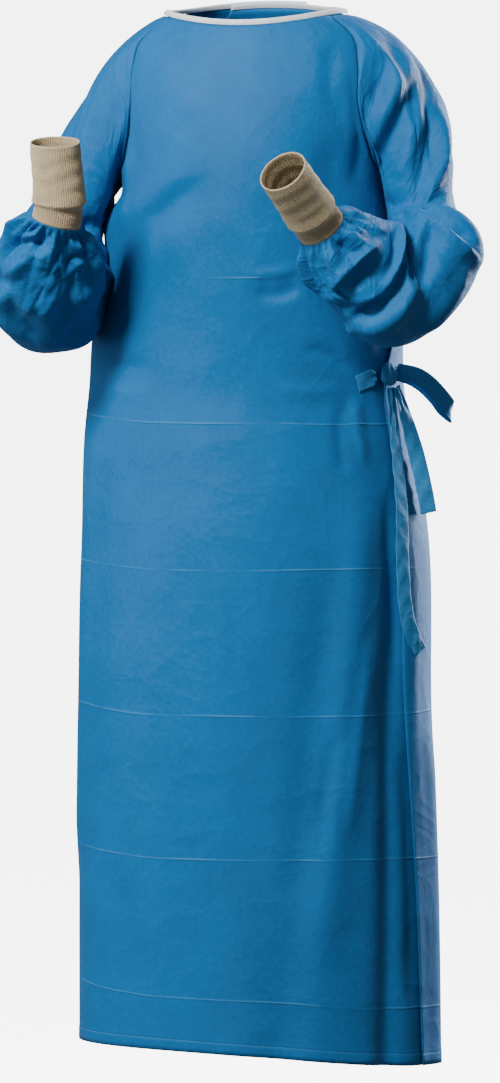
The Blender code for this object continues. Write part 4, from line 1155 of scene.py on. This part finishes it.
RIGHT_CREASES = [
    Crease([(66, 240), (56, 266), (36, 298), (14, 330)], 9, 0.0100, 1.0, -0.5),
    Crease([(54, 268), (43, 290), (30, 309)], 3, -0.0070, 1.0, 0.0),
    Crease([(10, 246), (30, 243), (54, 250)], 3, -0.0070, 1.0, 0.3),
    Crease([(12, 254), (30, 252), (50, 258)], 3, 0.0045, 1.0, 0.0),
    Crease([(20, 232), (34, 226), (48, 220)], 3, -0.0065, 1.0, 0.2),
    Crease([(-2, 219), (14, 216), (28, 206)], 3.5, -0.0075, 1.0, 0.2),
    Crease([(2, 228), (18, 223), (34, 213)], 3, 0.0045, 1.0, 0.0),
    Crease([(60, 248), (61, 264), (66, 280)], 2.5, 0.0035, 1.0, 0.3),
    Crease([(64, 278), (75, 269), (86, 258)], 3, 0.0035, 1.0, 0.0),
    Crease([(66, 268), (76, 258), (86, 249)], 3, -0.0065, 1.0, 0.0),
    Crease([(66, 243), (78, 232), (90, 222)], 3, -0.0070, 1.0, 0.2),
    Crease([(58, 218), (30, 206), (-6, 216)], 8, -0.0131, 0.7, 0.2),
    Crease([(56, 224), (40, 224), (18, 234)], 6.4, -0.0101, 0.7, 0.0),
    Crease([(52, 214), (24, 214), (-4, 232)], 6.4, 0.0090, 0.9, 0.0),
    Crease([(54, 232), (34, 246), (4, 244)], 8, -0.0131, 0.7, 0.2),
    Crease([(56, 236), (32, 256), (0, 278)], 9.6, 0.0121, 0.9, 0.2),
    Crease([(60, 240), (50, 272), (24, 304)], 9.6, -0.0131, 0.7, 0.2),
    Crease([(66, 240), (58, 284), (36, 326)], 11.2, 0.0121, 0.9, 0.2),
    Crease([(72, 240), (74, 286), (58, 336)], 11.2, -0.0112, 0.4, 0.0),
    Crease([(80, 232), (88, 262), (84, 310)], 9.6, 0.0090, 0.7, 0.0),
    Crease([(72, 246), (84, 232), (92, 214)], 6.4, -0.0090, 0.7, 0.0),
    Crease([(0, 290), (16, 318), (44, 348)], 11.2, -0.0101, 0.4, 0.0),
]
HIDDEN_LEFT_CREASES = [
    Crease([(0.16, 96), (0.24, 60), (0.34, 44)], 0.015, 0.0067, 0.9, 0.2),
    Crease([(0.26, 120), (0.36, 84), (0.46, 70)], 0.015, -0.0075, 0.7, 0.0),
    Crease([(0.44, 120), (0.50, 80), (0.52, 30)], 0.0135, 0.0075, 0.9, 0.2),
    Crease([(0.60, 128), (0.64, 84), (0.62, 34)], 0.0135, -0.0075, 0.7, 0.2),
    Crease([(0.76, 116), (0.84, 88), (0.90, 80)], 0.012, 0.0067, 0.9, 0.0),
    Crease([(0.08, 44), (0.15, 22), (0.24, 10)], 0.0165, -0.0067, 0.4, 0.0),
]
HIDDEN_RIGHT_CREASES = [
    Crease([(0.36, -90), (0.42, -90), (0.50, -92)], 0.020, 0.0090, 0.0, 0.0),
    Crease([(0.50, -58), (0.60, -54), (0.72, -58)], 0.022, 0.0120, 0.0, 0.0),
    Crease([(0.50, 46), (0.60, 42), (0.70, 46)], 0.028, -0.0090, 0.0, 0.0),
    Crease([(0.16, -96), (0.24, -64), (0.33, -48)], 0.015, 0.0067, 0.9, 0.2),
    Crease([(0.27, -122), (0.36, -88), (0.47, -66)], 0.015, -0.0075, 0.7, 0.0),
    Crease([(0.42, -118), (0.49, -78), (0.50, -28)], 0.0135, 0.0075, 0.9, 0.2),
    Crease([(0.56, -128), (0.61, -86), (0.60, -30)], 0.0135, -0.0075, 0.7, 0.2),
    Crease([(0.74, -112), (0.82, -84), (0.88, -74)], 0.012, 0.0067, 0.9, 0.0),
    Crease([(0.30, 30), (0.42, 14), (0.50, -8)], 0.018, 0.0067, 0.7, 0.0),
    Crease([(0.44, 60), (0.55, 30), (0.62, 2)], 0.0165, -0.0067, 0.7, 0.2),
]


def round_sleeve(share, turn, creases):
    """The creases' height on a sleeve, with shares and degrees turned to metres."""
    radius = SLEEVE_RADIUS * math.pi / 180
    placed = [
        c._replace(path=[(s * SLEEVE_LENGTH, d * radius) for s, d in c.path]) for c in creases
    ]
    degrees = (np.degrees(turn) + 180) % 360 - 180
    return crease_height(np.stack([share * SLEEVE_LENGTH, degrees * radius], axis=-1), placed)


print("creases on the sleeves:", [len(drawn) for drawn in (LEFT_CREASES, RIGHT_CREASES)])
print("and hidden ones:", [len(drawn) for drawn in (HIDDEN_LEFT_CREASES, HIDDEN_RIGHT_CREASES)])

# %% [markdown]
# A raglan sleeve is sewn to the panels from the neckline down to the underarm, so it starts as a
# loop on the body's own surface. A cubic takes each point of that loop to the arm's first section,
# and from there the sections go down to the cuff. Folds, gathers and creases then move the points
# out or in, and where the sleeve would sink into the body it is pressed out to rest on it.

# %% The sleeves
Shoulder = namedtuple("Shoulder", "slope fullness")
LEFT_SHOULDER, RIGHT_SHOULDER = Shoulder(-0.25, 0.45), Shoulder(-0.46, 0.18)
SLEEVE_COLUMNS, SLEEVE_LINES = 200, 230
MOST_CREASE = 0.018
RESTING_GAP = 0.002


def cuff_seam(rings, turn):
    """The round seam between sleeve and cuff: its centre, the way it faces, and its spokes."""
    centre, outward, _, _, tangent = (v[0] for v in arm_frames(rings, np.ones(1)))
    one = unit(outward)
    facing = unit(tangent - (tangent @ one) * one)
    two = np.cross(one, facing)
    spokes = np.cos(turn)[:, None] * one + np.sin(turn)[:, None] * two
    return centre, facing, spokes


def cap_rows(rings, side, shoulder, count):
    """From the armhole's seam to the first section: a cubic that leaves away from the panels."""
    loop, normal, depth = armhole(side, count)
    _, _, sideways, _, tangent = (v[0] for v in arm_frames(rings, np.zeros(1)))
    turned = math.pi / 2 + 2 * math.pi * np.arange(count) / count
    turns = -math.copysign(1.0, sideways[0] * side) * turned
    first = arm_tube(rings, np.zeros(count), turns)
    chord = first - loop
    reach = np.linalg.norm(chord, axis=-1, keepdims=True)
    flat = unit(chord - (chord * normal).sum(-1, keepdims=True) * normal)
    lift = smoothstep((depth - 0.30) / 0.70)[:, None]
    leaving = unit(flat * (1 - lift) + (unit(chord) + normal * 0.7) * lift)
    top = smoothstep((0.42 - depth) / 0.42)[:, None]
    leaving = unit(leaving * (1 - top) + np.array([side * 1.0, 0, shoulder.slope]) * top)
    along = unit(np.roll(loop, -1, axis=0) - np.roll(loop, 1, axis=0))
    away = unit(np.cross(along, normal))
    away *= math.copysign(1.0, (away * chord).sum(-1)[count // 2])
    onward = np.maximum((leaving * away).sum(-1, keepdims=True), LEAST_ONWARD)
    outward = np.maximum((leaving * normal).sum(-1, keepdims=True), 0.0)
    leaving = unit(away * onward + normal * outward + along * (leaving * along).sum(-1, keepdims=True))
    crease = (unit(away * onward + normal * outward) * normal).sum(-1, keepdims=True)
    start = loop + away * (SEAM_GAP / 2 + (0.0009) * crease)
    stretch = reach * (1.0 - 0.3 * lift + (0.1 + shoulder.fullness) * top)
    return start, leaving * stretch, first, tangent * reach * 0.8, turns


def sleeve_form(rings, side, shoulder):
    """Rows from the armhole to the cuff, spread as evenly as the solid's own rows."""
    start, leave, first, arrive, turns = cap_rows(rings, side, shoulder, SLEEVE_COLUMNS)
    place = np.linspace(0, CAP_ROWS + ARM_ROWS, SLEEVE_LINES)
    t = (place[place < CAP_ROWS] / CAP_ROWS)[:, None, None]
    cap = (
        (2 * t**3 - 3 * t**2 + 1) * start
        + (t**3 - 2 * t**2 + t) * leave
        + (3 * t**2 - 2 * t**3) * first
        + (t**3 - t**2) * arrive
    )
    at = ((place[place >= CAP_ROWS] - CAP_ROWS) / ARM_ROWS)[:, None] * np.ones(SLEEVE_COLUMNS)
    arm = arm_tube(rings, at, turns[None, :] * np.ones_like(at))
    share = place[:, None] / (CAP_ROWS + ARM_ROWS) * np.ones(SLEEVE_COLUMNS)
    return np.concatenate([cap, arm]), share, turns[None, :] * np.ones_like(share)


def relaxed(grid, weight, rounds):
    """Each point drawn half way to the mean of its neighbours, as far as its weight says."""
    for _ in range(rounds):
        down = grid.copy()
        down[1:-1] = (grid[:-2] + grid[2:]) / 2
        around = (np.roll(grid, 1, axis=1) + np.roll(grid, -1, axis=1)) / 2
        grid = grid + 0.5 * weight[..., None] * ((down + around) / 2 - grid)
    return grid


def clear_of_body(grid):
    """Where a sleeve would lie inside the body below the armhole, it is pressed out to rest on it."""
    x, y, height = np.moveaxis(grid, -1, 0)
    columns = along_rows([s.height for s in BODY], [s[1:] for s in BODY], height)
    half_width, front, back, shift = np.moveaxis(columns, -1, 0)[:4]
    angle = np.arctan2((x - shift) / half_width, -y / np.where(y < 0, front, back))
    surface = body(angle, height, RESTING_GAP + side_swell(angle, height))
    reach = np.hypot(x - shift, y)
    short = np.clip(np.hypot(surface[..., 0] - shift, surface[..., 1]) - reach, 0, 0.03)
    press = short * smoothstep((-height - 0.220) / 0.014) / reach
    print("a sleeve is pressed out at most, in mm:", round(1000 * (press * reach).max(), 1))
    return grid + np.stack([(x - shift) * press, y * press, 0 * y], axis=-1)


def sleeve(name, node, side, rings, shoulder, folds, drawn, hidden):
    """The form, moved out by its folds, gathers and creases, and closed on the cuff's seam."""
    form, share, turn = sleeve_form(rings, side, shoulder)
    out = grid_normals(form, True)
    if (out[-1] * (form[-1] - form[-1].mean(0))).sum() < 0:
        out = -out
    move = sleeve_fold_height(folds, share, turn) + gathers(share, turn)
    move = move * smoothstep(share * 24)
    grid = form + out * move[..., None]
    fresh = grid_normals(grid, True)
    fresh = fresh * math.copysign(1.0, (fresh * out).sum())
    still = smoothstep(share / 0.06) * smoothstep((1 - share) / 0.05)
    crisp = drawn_height(grid, fresh, drawn) + round_sleeve(share, turn, hidden)
    move = MOST_CREASE * np.tanh((move + crisp * still) / MOST_CREASE)
    grid = form + out * (move + seam_dip(share * SLEEVE_LENGTH))[..., None]
    calm = smoothstep(share / 0.03) * smoothstep((0.34 - share) / 0.08)
    grid = clear_of_body(relaxed(grid, calm, 12))
    centre, facing, spokes = cuff_seam(rings, turn[0])
    ring = centre - facing * SEAM_GAP / 2 + spokes * CUFF_RADIUS
    close = smoothstep((share - 0.965) / 0.035)[..., None]
    grid = grid * (1 - close) + (grid + (ring - grid[-1])) * close
    around = np.linspace(0, 2 * math.pi * SLEEVE_RADIUS, SLEEVE_COLUMNS + 1)
    flat = np.stack(np.broadcast_arrays(around, share[:, :1] * SLEEVE_LENGTH), axis=-1)
    return cloth(name, grid, flat, SLEEVE_BLUE, node, around=True, outward=out)


left_sleeve = sleeve(
    "left_sleeve", "sleeve_left", 1, LEFT_RINGS, LEFT_SHOULDER,
    LEFT_FOLDS, LEFT_CREASES, HIDDEN_LEFT_CREASES,
)
right_sleeve = sleeve(
    "right_sleeve", "sleeve_right", -1, RIGHT_RINGS, RIGHT_SHOULDER,
    RIGHT_FOLDS, RIGHT_CREASES, HIDDEN_RIGHT_CREASES,
)

# %% [markdown]
# The cuff is a tube of rib knit that grips the wrist. Its ribs run along it, so the tube's radius
# is a wave round the turn, and the tube narrows and swells a little from its seam to its rim.

# %% The cuffs


def cuff(name, node, rings, hand_end):
    """A tube along a curved line: radius times one plus a small wave of the turn for the ribs."""
    turn = np.linspace(0, 2 * math.pi, RIBS * 4, endpoint=False)
    centre, facing, first = cuff_seam(rings, turn)
    start, end = centre + facing * SEAM_GAP / 2, from_pose(hand_end)
    reach = np.linalg.norm(end - start)
    t = np.linspace(0, 1, 46)[:, None]
    bend = (t**3 - 2 * t**2 + t) * facing * reach + (t**3 - t**2) * unit(end - start) * reach
    line = (2 * t**3 - 3 * t**2 + 1) * start + (3 * t**2 - 2 * t**3) * end + bend
    keys = [0, 0.12, 0.22, 0.27, 0.45, 0.72, 1.0]
    radius = along_rows(keys, [1.0, 0.97, 0.97, 1.04, 1.02, 1.0, 0.99], t[:, 0]) * CUFF_RADIUS
    tangent = unit(np.gradient(line, axis=0))
    tangent[0] = facing
    spokes = unit(first[None] - (tangent @ first.T)[..., None] * tangent[:, None])
    fade = smoothstep(t * 12) * (1 - 0.5 * smoothstep((t - 0.95) / 0.05))
    ribs = 0.00055 * np.cos(RIBS * turn) * fade
    ruck = 0.0003 * np.sin(t * 31 + 1.4 * np.sin(2 * turn))
    ruck = ruck * smoothstep(t * 5) * smoothstep((1 - t) * 8)
    ridge = 0.0016 * np.exp(-(((t - 0.262) / 0.022) ** 2))
    size = radius + ribs + ruck + ridge
    grid = line[:, None] + spokes * size[..., None]
    around = np.linspace(0, 2 * math.pi * CUFF_RADIUS, RIBS * 4 + 1)
    flat = np.stack(np.broadcast_arrays(around, t * reach), axis=-1)
    return cloth(
        name, grid, flat, KNIT, node, around=True, outward=spokes, thickness=0.0012
    )


left_cuff = cuff("left_cuff", "cuff_left", LEFT_RINGS, LEFT_HAND_END)
right_cuff = cuff("right_cuff", "cuff_right", RIGHT_RINGS, RIGHT_HAND_END)

# %% [markdown]
# The neckline is bound with a narrow white tape folded over the cloth's edge. It is a profile
# carried along the neck's curve: a flat loop, rounded at the fold on top and at its two lower
# edges. The hook pad sits between the two back layers.

# %% The neckline
BINDING_HEIGHT, BINDING_THICKNESS = 0.0070, 0.0030


def inner_sink(angle, share):
    """How far the inner layer lies inside the single layer."""
    return flap_rise(angle) - LAYER - INNER_EASE * smoothstep(share * 4.0)


def neckline_binding():
    """A flattened ring of 24 points, set up along the neck's slope at 300 places along it."""
    ends = edge_angle(INNER_EDGE, NECK_HEIGHT), 2 * math.pi - edge_angle(FLAP_EDGE, NECK_HEIGHT)
    turn = np.linspace(float(ends[0]), -float(ends[1]), 300)
    back = math.radians(RAGLAN_BACK[0].degrees)
    out = np.where(turn > back, inner_sink(turn, (turn - back) / (float(ends[0]) - back)), 0.0)
    out = np.where(turn < -back, flap_rise(turn + 2 * math.pi), out)
    base = plain_body(turn, NECK_HEIGHT) + body_normal(turn, NECK_HEIGHT) * out[:, None]
    up = unit(plain_body(turn, NECK_HEIGHT) - plain_body(turn, NECK_HEIGHT - 0.004))
    up = unit(up + np.array([0, 0, 0.8]))
    outward = -unit(np.cross(up, unit(np.gradient(base, axis=0))))
    outward *= math.copysign(1.0, (outward * base).sum())
    loop = np.linspace(0, 2 * math.pi, 24, endpoint=False)
    upright = np.sin(loop)
    high = BINDING_HEIGHT / 2 + 0.0003 + BINDING_HEIGHT / 2 * np.sign(upright) * np.abs(upright) ** 0.8
    thick = BINDING_THICKNESS / 2 * np.sign(np.cos(loop)) * np.abs(np.cos(loop)) ** 0.55
    ripple = 1 + 0.05 * np.sin(turn * 61)[:, None] + 0.04 * np.sin(turn * 23 + 1)[:, None]
    grid = base[:, None] + up[:, None] * high[:, None] + outward[:, None] * (thick * ripple)[..., None]
    centre = base + up * (BINDING_HEIGHT / 2)
    steps = np.linalg.norm(np.diff(base, axis=0), axis=1)
    along = np.concatenate([[0], np.cumsum(steps)])
    across = np.concatenate([high, high[:1]])
    flat = np.stack(np.broadcast_arrays(along[:, None], across), axis=-1)
    return cloth(
        "neckline_binding",
        grid,
        flat,
        TAPE,
        "neck_binding",
        around=True,
        outward=grid - centre[:, None],
        thickness=0.0,
    )


def close_ends(piece, rows, columns):
    """One face over each open end of a tube."""
    mesh = piece.data
    made = bpy.data.meshes.new(piece.name)
    points = np.empty(len(mesh.vertices) * 3)
    mesh.vertices.foreach_get("co", points)
    faces = [tuple(p.vertices) for p in mesh.polygons]
    corners = np.empty(len(mesh.loops) * 2)
    mesh.uv_layers["cut"].data.foreach_get("uv", corners)
    first, last = list(range(columns)), list(range((rows - 1) * columns, rows * columns))
    edge = faces[0]
    if (edge.index(1) - edge.index(0)) % 4 == 1:
        first = first[::-1]
    else:
        last = last[::-1]
    made.from_pydata(points.reshape(-1, 3).tolist(), [], faces + [tuple(first), tuple(last)])
    layer = made.uv_layers.new(name="cut")
    corners = np.concatenate([corners, np.zeros(columns * 4)])
    layer.data.foreach_set("uv", corners.astype(np.float32))
    made.shade_smooth()
    made.materials.append(mesh.materials[0])
    piece.data = made
    return piece


def neck_hook_pad():
    """A thin patch between the layers: the body's form sunk by half the room between them."""
    angle = np.radians(np.linspace(168, 192, 40))[None, :] * np.ones((28, 1))
    height = np.linspace(-0.010, -0.036, 28)[:, None] * np.ones((1, 40))
    grid = body(angle, height, flap_rise(angle) - (LAYER + INNER_EASE) / 2)
    return cloth(
        "neck_hook_pad",
        grid,
        flat_map(angle, height),
        HOOKS,
        "neck_fastener",
        outward=body_normal(angle, height),
        thickness=0.0050,
    )


binding = close_ends(neckline_binding(), 300, 24)
hook_pad_piece = neck_hook_pad()

# %% [markdown]
# The ties are strips of the same fabric, folded and about 20 mm wide. Each is a path with a
# direction for its width, and its edges curl, so the strip's middle stands proud of them. The knot
# is pulled tight: a lump with creases that run into it, and a band that wraps round it.

# %% Ties
TIE_WIDTH = 0.020
Knot = namedtuple("Knot", "degrees height out")
KNOT = Knot(69.5, -0.436, 0.0123)
LoopRow = namedtuple("LoopRow", "along down out")
LOOP_PATH = [
    LoopRow(0.0142, -0.003, 0.0020),
    LoopRow(0.0260, 0.003, 0.022),
    LoopRow(0.0410, 0.026, 0.043),
    LoopRow(0.0480, 0.041, 0.051),
    LoopRow(0.0550, 0.049, 0.049),
    LoopRow(0.0580, 0.045, 0.040),
    LoopRow(0.0520, 0.028, 0.029),
    LoopRow(0.0330, 0.006, 0.012),
    LoopRow(0.0143, -0.003, -0.0026),
]
TailRow = namedtuple("TailRow", "degrees height out turn")
LONG_TAIL = [
    TailRow(69.0, -0.4527, 0.0125, 0),
    TailRow(69.5, -0.500, 0.0082, 0),
    TailRow(66.0, -0.600, 0.0082, 0),
    TailRow(64.5, -0.660, 0.0080, 5),
    TailRow(68.0, -0.735, 0.0095, 12),
    TailRow(74.0, -0.765, 0.0105, 12),
]
SHORT_TAIL = [
    TailRow(72.5, -0.4525, 0.0146, 3),
    TailRow(76.5, -0.480, 0.0140, 10),
    TailRow(80.0, -0.530, 0.0140, 45),
    TailRow(82.0, -0.575, 0.0150, 50),
    TailRow(83.0, -0.603, 0.0150, 50),
]


def on_body(degrees, height, out):
    """A point over the body's cloth at that angle and height."""
    return body(np.radians(np.asarray(degrees, float)), np.asarray(height, float), out)


def strip(name, node, path, across, curl=0.0010, width=TIE_WIDTH, pinch=0.0):
    """Path plus width times across, lifted by the curl's square of the place across the strip."""
    across = unit(np.asarray(across, float))
    place = np.linspace(-0.5, 0.5, 17)
    steps = np.linalg.norm(np.diff(path, axis=0), axis=1)
    along = np.concatenate([[0], np.cumsum(steps)])
    share = (along / along[-1])[:, None]
    narrow = 1 - pinch * (1 - smoothstep(share / 0.25))
    out = unit(np.cross(np.gradient(path, axis=0), across))
    wave = 0.0006 * np.sin(along * 210)[:, None] * np.sin(place * 5 + 1)
    fold = pinch * 0.0035 * np.cos(place * 4 * math.pi) * (1 - smoothstep(share / 0.3))
    lift = curl * (0.5 - 2 * place**2) + wave + fold
    grid = path[:, None] + across[:, None] * (place * narrow)[..., None] * width
    grid = grid + out[:, None] * lift[..., None]
    flat = np.stack(np.broadcast_arrays(along[:, None], place * width), axis=-1)
    outward = np.broadcast_to(out[:, None], grid.shape)
    return cloth(name, grid, flat, TIE_BLUE, node, outward=outward, thickness=0.0008)


def knot_frame():
    """The knot's centre, and its directions backwards round the body, down and out."""
    centre = on_body(KNOT.degrees, KNOT.height, KNOT.out)
    normal = body_normal(math.radians(KNOT.degrees), KNOT.height)
    down = unit(np.array([0.0, 0.0, -1.0]) + normal * normal[2])
    return centre, np.cross(normal, down), down, normal


def front_tie():
    """Flat on the cloth as far as the knot, and sewn down at its front end."""
    degrees, height = np.linspace(53.5, 64.5, 40), np.linspace(-0.447, -0.438, 40)
    path = on_body(degrees, height, 0.0021)
    slope = unit(np.gradient(path, axis=0))
    across = np.cross(body_normal(np.radians(degrees), height), slope)
    return strip("front_tie", "tie_front", path[::-1], across[::-1], 0.0006, pinch=0.25)


def bow_loop():
    """Out from the knot and back to it."""
    centre, along, down, normal = knot_frame()
    path = [[*(centre + along * r.along + down * r.down + normal * r.out)] for r in LOOP_PATH]
    path = smooth_path(path, 90)
    slope = unit(np.gradient(path, axis=0))
    return strip("tie_loop", "bow_loop", path, down - (slope @ down)[:, None] * slope, 0.0014)


def hanging_end(name, node, rows):
    """A path over the body whose width turns off the cloth further down."""
    table = smooth_path([(*on_body(r.degrees, r.height, r.out), r.degrees, r.turn) for r in rows], 110)
    path, degrees, turn = table[:, :3], table[:, 3], np.radians(table[:, 4])[:, None]
    slope = unit(np.gradient(path, axis=0))
    normal = body_normal(np.radians(degrees), path[:, 2])
    normal = unit(normal - (normal * slope).sum(-1, keepdims=True) * slope)
    flat = np.cross(normal, slope)
    return strip(name, node, path, flat * np.cos(turn) + normal * np.sin(turn), 0.0016, pinch=0.35)


# %% [markdown]
# The knot's lump is a rounded block: the sine and cosine of two angles, each raised to a power
# under one. Creases run round it and meet at its ends, and the band is a short strip bent over it.

# %% The knot
KNOT_SIZE = np.array([0.0125, 0.0145, 0.0062])


def rounded(value, power):
    """A power that keeps the sign."""
    return np.sign(value) * np.abs(value) ** power


def tie_knot():
    """A rounded block whose surface waves with the angle round it, on a closed grid."""
    centre, along, down, normal = knot_frame()
    level = np.linspace(-math.pi / 2, math.pi / 2, 41)[:, None]
    turn = np.linspace(0, 2 * math.pi, 84, endpoint=False)
    ring = rounded(np.cos(level), 0.8)
    crease = 1 + 0.075 * np.cos(9 * turn + 2.2 * np.sin(level * 1.5)) * np.cos(level) ** 0.5
    place = np.stack(
        [
            ring * rounded(np.cos(turn), 0.85) * crease,
            np.broadcast_to(rounded(np.sin(level), 0.8), (41, 84)),
            ring * rounded(np.sin(turn), 0.85) * crease,
        ],
        axis=-1,
    )
    band = np.exp(-(((level + 0.35 * np.cos(turn)) / 0.42) ** 2))
    place = place * (1 + 0.10 * band[..., None] - 0.05)
    grid = centre + place * KNOT_SIZE @ np.array([along, down, normal])
    around = np.linspace(0, 0.06, 85)
    flat = np.stack(np.broadcast_arrays(around, level * 0.012), axis=-1)
    piece = cloth(
        "tie_knot",
        grid,
        flat,
        TIE_BLUE,
        "waist_knot",
        around=True,
        outward=grid - centre,
        thickness=0.0,
    )
    return piece


knot = tie_knot()
tie = front_tie()
loop = bow_loop()
long_end = hanging_end("long_tie_end", "tail_long", LONG_TAIL)
short_end = hanging_end("short_tie_end", "tail_short", SHORT_TAIL)

# %% [markdown]
# Each piece of cloth prints its number of quads and its area in square metres as it is made.

# %% [markdown]
# The stage is a flat white floor in a white room, so the gown can be seen from every side. A soft
# light stands high to the left of the camera, and narrow ones at both sides pick out the edges of
# the sleeves and the skirt.

# %% Floor and light
FLOOR_HEIGHT = -1.52
ROOM_WHITE = 6.0


def studio_floor():
    """A flat square, wide enough to reach the horizon."""
    half = 60.0
    corners = [(-half, -half), (half, -half), (half, half), (-half, half)]
    mesh = bpy.data.meshes.new("studio_floor")
    mesh.from_pydata([(x, y, FLOOR_HEIGHT) for x, y in corners], [], [(0, 1, 2, 3)])
    material = bpy.data.materials.new("pale_floor")
    material.use_nodes = True
    shader = material.node_tree.nodes["Principled BSDF"]
    shader.inputs["Base Color"].default_value = (0.86, 0.87, 0.88, 1)
    shader.inputs["Roughness"].default_value = 0.9
    shader.inputs["Emission Color"].default_value = (1, 1, 1, 1)
    shader.inputs["Emission Strength"].default_value = ROOM_WHITE
    mesh.materials.append(material)
    floor = bpy.data.objects.new("studio_floor", mesh)
    bpy.context.scene.collection.objects.link(floor)
    floor.visible_diffuse = floor.visible_glossy = False
    return floor


def soft_light(name, right, toward, up, width, height, power, colour):
    """An area light placed from the camera's directions and aimed at the gown's middle."""
    lamp = bpy.data.lights.new(name, "AREA")
    lamp.shape = "RECTANGLE"
    lamp.size, lamp.size_y, lamp.energy, lamp.color = width, height, power, colour
    made = bpy.data.objects.new(name, lamp)
    bpy.context.scene.collection.objects.link(made)
    level = unit(TO_CAMERA * [1, 1, 0])
    place = Vector(AIM + RIGHTWARD * right + level * toward + np.array([0, 0, up]))
    made.location = place
    made.rotation_mode = "QUATERNION"
    made.rotation_quaternion = (Vector(AIM) - place).to_track_quat("-Z", "Y")
    return made


def room_light(strength):
    """Even light from all round, which the camera itself sees as a white room."""
    world = bpy.data.worlds.new("room")
    world.use_nodes = True
    tree = world.node_tree
    background = tree.nodes["Background"]
    background.inputs[0].default_value = (0.95, 0.97, 1.0, 1)
    straight = wire(tree, "ShaderNodeLightPath", {}).outputs["Is Camera Ray"]
    seen = remap(tree, straight, 0.0, 1.0, strength, ROOM_WHITE)
    tree.links.new(seen, background.inputs[1])
    bpy.context.scene.world = world


studio_floor()
room_light(0.20)
soft_light("key_light", -1.4, 2.5, 2.5, 0.7, 0.7, 205.0, (1.0, 0.98, 0.95))
soft_light("left_edge_light", -2.7, 0.6, 0.3, 0.4, 2.2, 30.0, (0.96, 0.98, 1.0))
soft_light("right_edge_light", 2.0, -1.7, 0.9, 0.4, 2.2, 215.0, (0.90, 0.95, 1.0))
